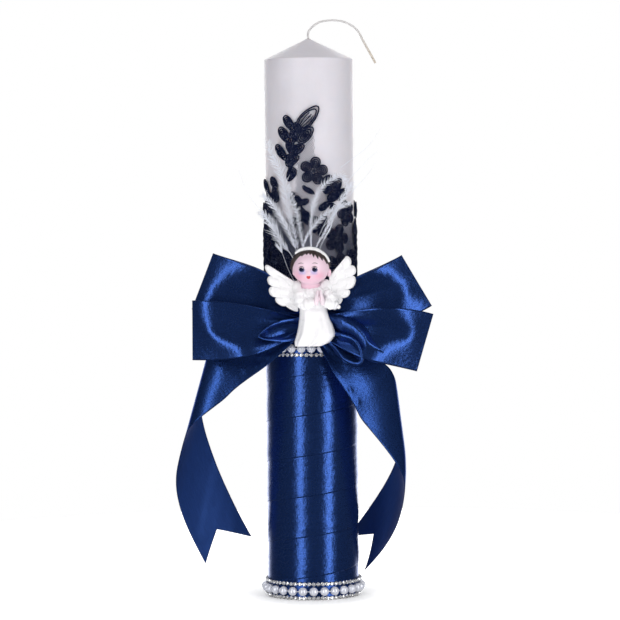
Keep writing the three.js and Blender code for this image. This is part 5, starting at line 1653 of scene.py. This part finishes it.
    def hair(self):
        """A cap of hair over the head from the hairline to the crown: the grown ellipsoid with ridges
        that run down its locks, the sine of the longitude, and a hairline cut in points."""
        lon = np.linspace(-1.72, 1.72, 181)[:, None]
        hairline = np.interp(lon, *np.array(HAIRLINE).T)
        low = np.arcsin(np.clip((hairline - HEAD[2]) / HEAD_RADII[2], -0.9, 0.9))
        share = np.linspace(0, 1, 46)[None, :]
        shape = ball_places(mixed(low, np.pi / 2 - 0.03, share), lon)
        locks = 0.32 * np.abs(np.sin(lon * 13 + 1.2 * share)) + 0.16 * np.sin(lon * 37 + 3 * share)
        grow = 0.3 + 0.5 * smooth(share * 7) + locks * smooth(share * 9) * smooth((1 - share) * 3)
        outer = backed(HEAD + shape * (HEAD_RADII + grow[..., None]))
        return shell(outer, backed(HEAD + shape * (HEAD_RADII - 0.6))).outward()

    def garland(self):
        """A rope of small round beads over the hair, from temple to temple: its radius swells with the
        sine of the run, and again for each bead."""
        flat = curve_through([(-10.2, 234.4), (-7.6, 236.3), (-4.0, 237.4), (0.0, 237.6), (4.5, 236.5),
                              (8.4, 234.1), (11.2, 231.2), (12.5, 228.6)], 150)
        turn = np.pi * np.linspace(0, 1, len(flat))
        radius = (0.6 + 0.85 * np.sin(turn) ** 0.8) * (0.82 + 0.22 * np.abs(np.sin(turn * 13)) ** 0.6)
        radius[[0, -1]] = 0.4
        return tubes(rings_round(places(flat[:, 0], HEAD[1] - 3.2, flat[:, 1]), radius, 16))

    def hands(self, angel):
        """Two palms laid together: flattened tapering forms that lean in on each other, with grooves
        between the fingers, the cosine of the turn, and a thumb before them."""
        run, sides = np.linspace(0, 1, 40), 28
        radius = np.interp(run, [0, 0.25, 0.6, 0.9, 1], [1.7, 2.0, 1.7, 1.0, 0.5])
        deep = 0.07 * np.abs(np.cos(2.5 * steps_round(sides)))
        groove = 1 - deep[None, :, None] * smooth((run - 0.35) * 6)[:, None, None]
        parts = []
        for side in (-1, 1):
            path = curve_through([(HANDS_X + side * off, ANGEL_BACK - proud, z) for off, proud, z in (
                (2.2, 12.2, 200.6), (1.9, 12.6, 203.6), (1.2, 13.0, 207.4), (0.7, 13.0, 210.6))], len(run))
            rings = rings_round(path, radius, sides) - path[:, None]
            parts.append(tubes(path[:, None] + rings * groove * (0.8, 1.15, 1)))
        thumb = curve_through([(HANDS_X - off, ANGEL_BACK - proud, z) for off, proud, z in (
            (0, 14.2, 203.4), (0.1, 14.9, 205.2), (0.1, 14.6, 207))], 16)
        thick = np.interp(np.linspace(0, 1, len(thumb)), [0, 0.5, 1], [0.7, 0.8, 0.4])
        part = joined([*parts, tubes(rings_round(thumb, thick, 14, np.array([1.0, 0, 0])))])
        # Painted shade: a darker blush along the crease where the palms meet.
        between = np.exp(-((part.points[:, 0] - HANDS_X) / 0.35) ** 2)[:, None]
        pale = mixed(np.array(angel.skin), np.array([0.95, 0.9, 0.93]), 0.45)
        part.paint = mixed(pale, np.array(angel.blush) * 0.6, between * 0.4)
        return part

    def face(self, angel, hair):
        """The painted features: eyes with a painted highlight, lashes, brows, and the mouth, each laid on
        the face."""
        iris = finish("iris_paint", tinted(angel.eye_shade, 0.3), 0.5, Specular_IOR_Level=0.15)
        eye = finish("eye_paint", angel.eye, 0.5, Specular_IOR_Level=0.15)
        # Painted highlight: a white spot on each eye stands for the lamps' reflection.
        white = finish("eye_light", (0.9, 0.92, 0.96), 0.2, Coat_Weight=0.5)
        lips = plain_finish("lip_paint", angel.lips, 0.25, 2.0, 0.01, 0.06, Coat_Weight=0.5)
        eyes = (-5.9, 2.7)
        rings = [patch(x + 0.2, 223.8, 1.8, 1.5, 0.16) for x in eyes]
        balls = [patch(x - 0.1, 224.1, 1.6, 1.35, 0.26) for x in eyes]
        # The eyes' painted highlights: small white spots up and to the right of each eye.
        lights = [patch(x + 0.5, 224.9, 0.3, 0.28, 0.36, rings=3, sides=14) for x in eyes]
        mouth = [patch(-1.85, 219.05, 0.95, 0.75, 0.3, -0.35), patch(-0.95, 219.05, 0.95, 0.75, 0.3, 0.35),
                 patch(-1.4, 218.5, 1.05, 0.75, 0.34)]
        for name, spots, material in (("angel_eye_rings", rings, iris), ("angel_eyes", balls, eye),
                                      ("angel_eye_lights", lights, white), ("angel_lips", mouth, lips)):
            put(name, joined(spots), [material])
        brows = [face_line(x, 228.3, 0.16, tilt, 0.02, 0.17, 2.1, 0.03)
                 for x, tilt in ((-6.5, 0.12), (3.1, -0.12))]
        lashes = [face_line(x, 226.0, 0.22, 0, 0.05, 0.2, 2.2, 0.04) for x in eyes]
        put("angel_brows", joined(brows + lashes), [hair])


# Feathers

class CandleFeathers(bpy.types.Operator):
    """Grows the feathers behind the angel, each a quill with fine barbs, and the single long strands"""

    bl_idname = "candle.feathers"
    bl_label = "Feathers"

    def execute(self, context):
        feathers = context.scene.candle_feathers
        down = plain_finish("down", feathers.feather, 0.7, 1.5, 0.02, 0.04, Sheen_Weight=0.6,
                            Sheen_Roughness=0.5, Subsurface_Weight=0.2,
                            Subsurface_Radius=(0.001, 0.001, 0.001))
        for layer, form in enumerate(FEATHERS):
            depth = KNOT_BACK - 4.2 - 1.3 * layer
            part = self.feather(form, depth, feathers)
            put(f"{form['node']}_down", part, [down], [form["node"]])
        put("feather_strands", self.strands(), [down])
        return {"FINISHED"}

    def feather(self, form, depth, feathers):
        """A quill through its points from the top of the knot, and barbs on both sides. A barb leaves the
        quill at the feather's lay, reaches as far as the outline there, and bends toward the tip as the
        square of its own run; its lie out of the feather's plane is random."""
        rng = np.random.default_rng(form["seed"])
        flat = curve_through([(KNOT[0], KNOT[1] + KNOT_RISE + GAP), *form["points"]], 160)
        quill = places(flat[:, 0], depth, flat[:, 1])
        marks = np.linspace(0, 1, len(quill))
        run, bare, widest, curl_out, curl_along = run_along(flat)[-1], 40, 0.45, 0.45, 0.35
        thick, apart = form["barb"]
        start, count = bare / run, int(run / (apart * feathers.spacing))
        place = np.linspace(start, 1, count)[None, :] + rng.uniform(-0.4, 0.4, (2, count)) / count
        place = np.clip(place, 0, 1)
        share = (place - start) / (1 - start)
        near, middle, far = form["reach"]
        reach = np.where(share < widest, mixed(near, middle, smooth(share / widest)),
                         mixed(middle, far, smooth((share - widest) / (1 - widest))))
        reach = reach * rng.uniform(0.5, 1.4, reach.shape) * (1 - 0.35 * smooth((share - 0.9) / 0.1))
        foot = points_at(place, marks, quill)
        ahead = unit(points_at(place, marks, np.gradient(quill, axis=0)))
        side = places(ahead[..., 2], 0.0, -ahead[..., 0]) * np.array([-1, 1])[:, None, None]
        tilt = rng.uniform(-0.55, 0.55, place.shape)[..., None]
        side = side * np.cos(tilt) + FRONT * np.sin(tilt)
        lay = (np.radians(form["lay"]) + rng.uniform(-0.18, 0.18, place.shape))[..., None, None]
        taper = np.array([1, 0.95, 0.85, 0.6, 0.2])
        t = np.linspace(0, 1, len(taper))[None, None, :, None]
        long = (reach / np.sin(np.radians(max(form["lay"], 30))))[..., None, None]
        curl = rng.uniform(0.1, 0.5, place.shape)[..., None, None]
        across = side[:, :, None] * np.sin(lay) * (t - curl_out * curl * t ** 2)
        along = ahead[:, :, None] * np.cos(lay) * (t + curl_along * curl * t ** 2)
        barbs = (foot[:, :, None] + long * (across + along)).reshape(-1, len(taper), 3)
        width = thick / 2 * feathers.thickness * taper
        outward = FRONT + 0.02 * UP
        return joined([tubes(rings_round(quill, mixed(0.34, 0.1, marks), 6)),
                       tubes(rings_round(barbs, width, 3, outward))])

    def strands(self):
        """Single fine barbs on their own curves, each a little before the last, thinning to their
        tips."""
        parts, share = [], np.linspace(0, 1, 60)
        for k, points in enumerate(STRANDS):
            flat = curve_through(points, len(share))
            path = places(flat[:, 0], KNOT_BACK - 8 - 0.8 * k - 3 * share, flat[:, 1])
            parts.append(tubes(rings_round(path, mixed(0.16, 0.05, share), 5)))
        return joined(parts)


# Panel, registration and the run

OPERATORS = (CandleStage, CandleWick, CandleWax, CandleWrap, CandleTrims, CandleLace, CandleBow,
             CandleTails, CandleAngel, CandleFeathers)
SETTINGS = {
    "candle_wax": CandleWaxSettings,
    "candle_ribbon": CandleRibbonSettings,
    "candle_trim": CandleTrimSettings,
    "candle_lace": CandleLaceSettings,
    "candle_angel": CandleAngelSettings,
    "candle_feathers": CandleFeatherSettings,
    "candle_stage": CandleStageSettings,
}


class CandlePanel(bpy.types.Panel):
    """Lists the candle's steps and their sizes and colours"""

    bl_idname = "VIEW3D_PT_candle"
    bl_label = "Dressed candle"
    bl_space_type = "VIEW_3D"
    bl_region_type = "UI"
    bl_category = "Candle"

    def draw(self, context):
        for operator in OPERATORS:
            self.layout.operator(operator.bl_idname)
        for name, group in SETTINGS.items():
            box = self.layout.box()
            for key in group.__annotations__:
                box.prop(getattr(context.scene, name), key)


def register():
    """Registers the settings, the steps and the panel, and hangs the settings on the scene."""
    for cls in (*SETTINGS.values(), *OPERATORS, CandlePanel):
        bpy.utils.register_class(cls)
    for name, group in SETTINGS.items():
        setattr(bpy.types.Scene, name, bpy.props.PointerProperty(type=group))


def unregister():
    """Takes the settings off the scene and unregisters everything again."""
    for name in SETTINGS:
        delattr(bpy.types.Scene, name)
    for cls in reversed((*SETTINGS.values(), *OPERATORS, CandlePanel)):
        bpy.utils.unregister_class(cls)


def main():
    """Runs every step in order."""
    register()
    bpy.ops.candle.stage()
    bpy.ops.candle.wick()
    bpy.ops.candle.wax()
    bpy.ops.candle.wrap()
    bpy.ops.candle.trims()
    bpy.ops.candle.lace()
    bpy.ops.candle.bow()
    bpy.ops.candle.tails()
    bpy.ops.candle.angel()
    bpy.ops.candle.feathers()


if __name__ == "__main__":
    main()
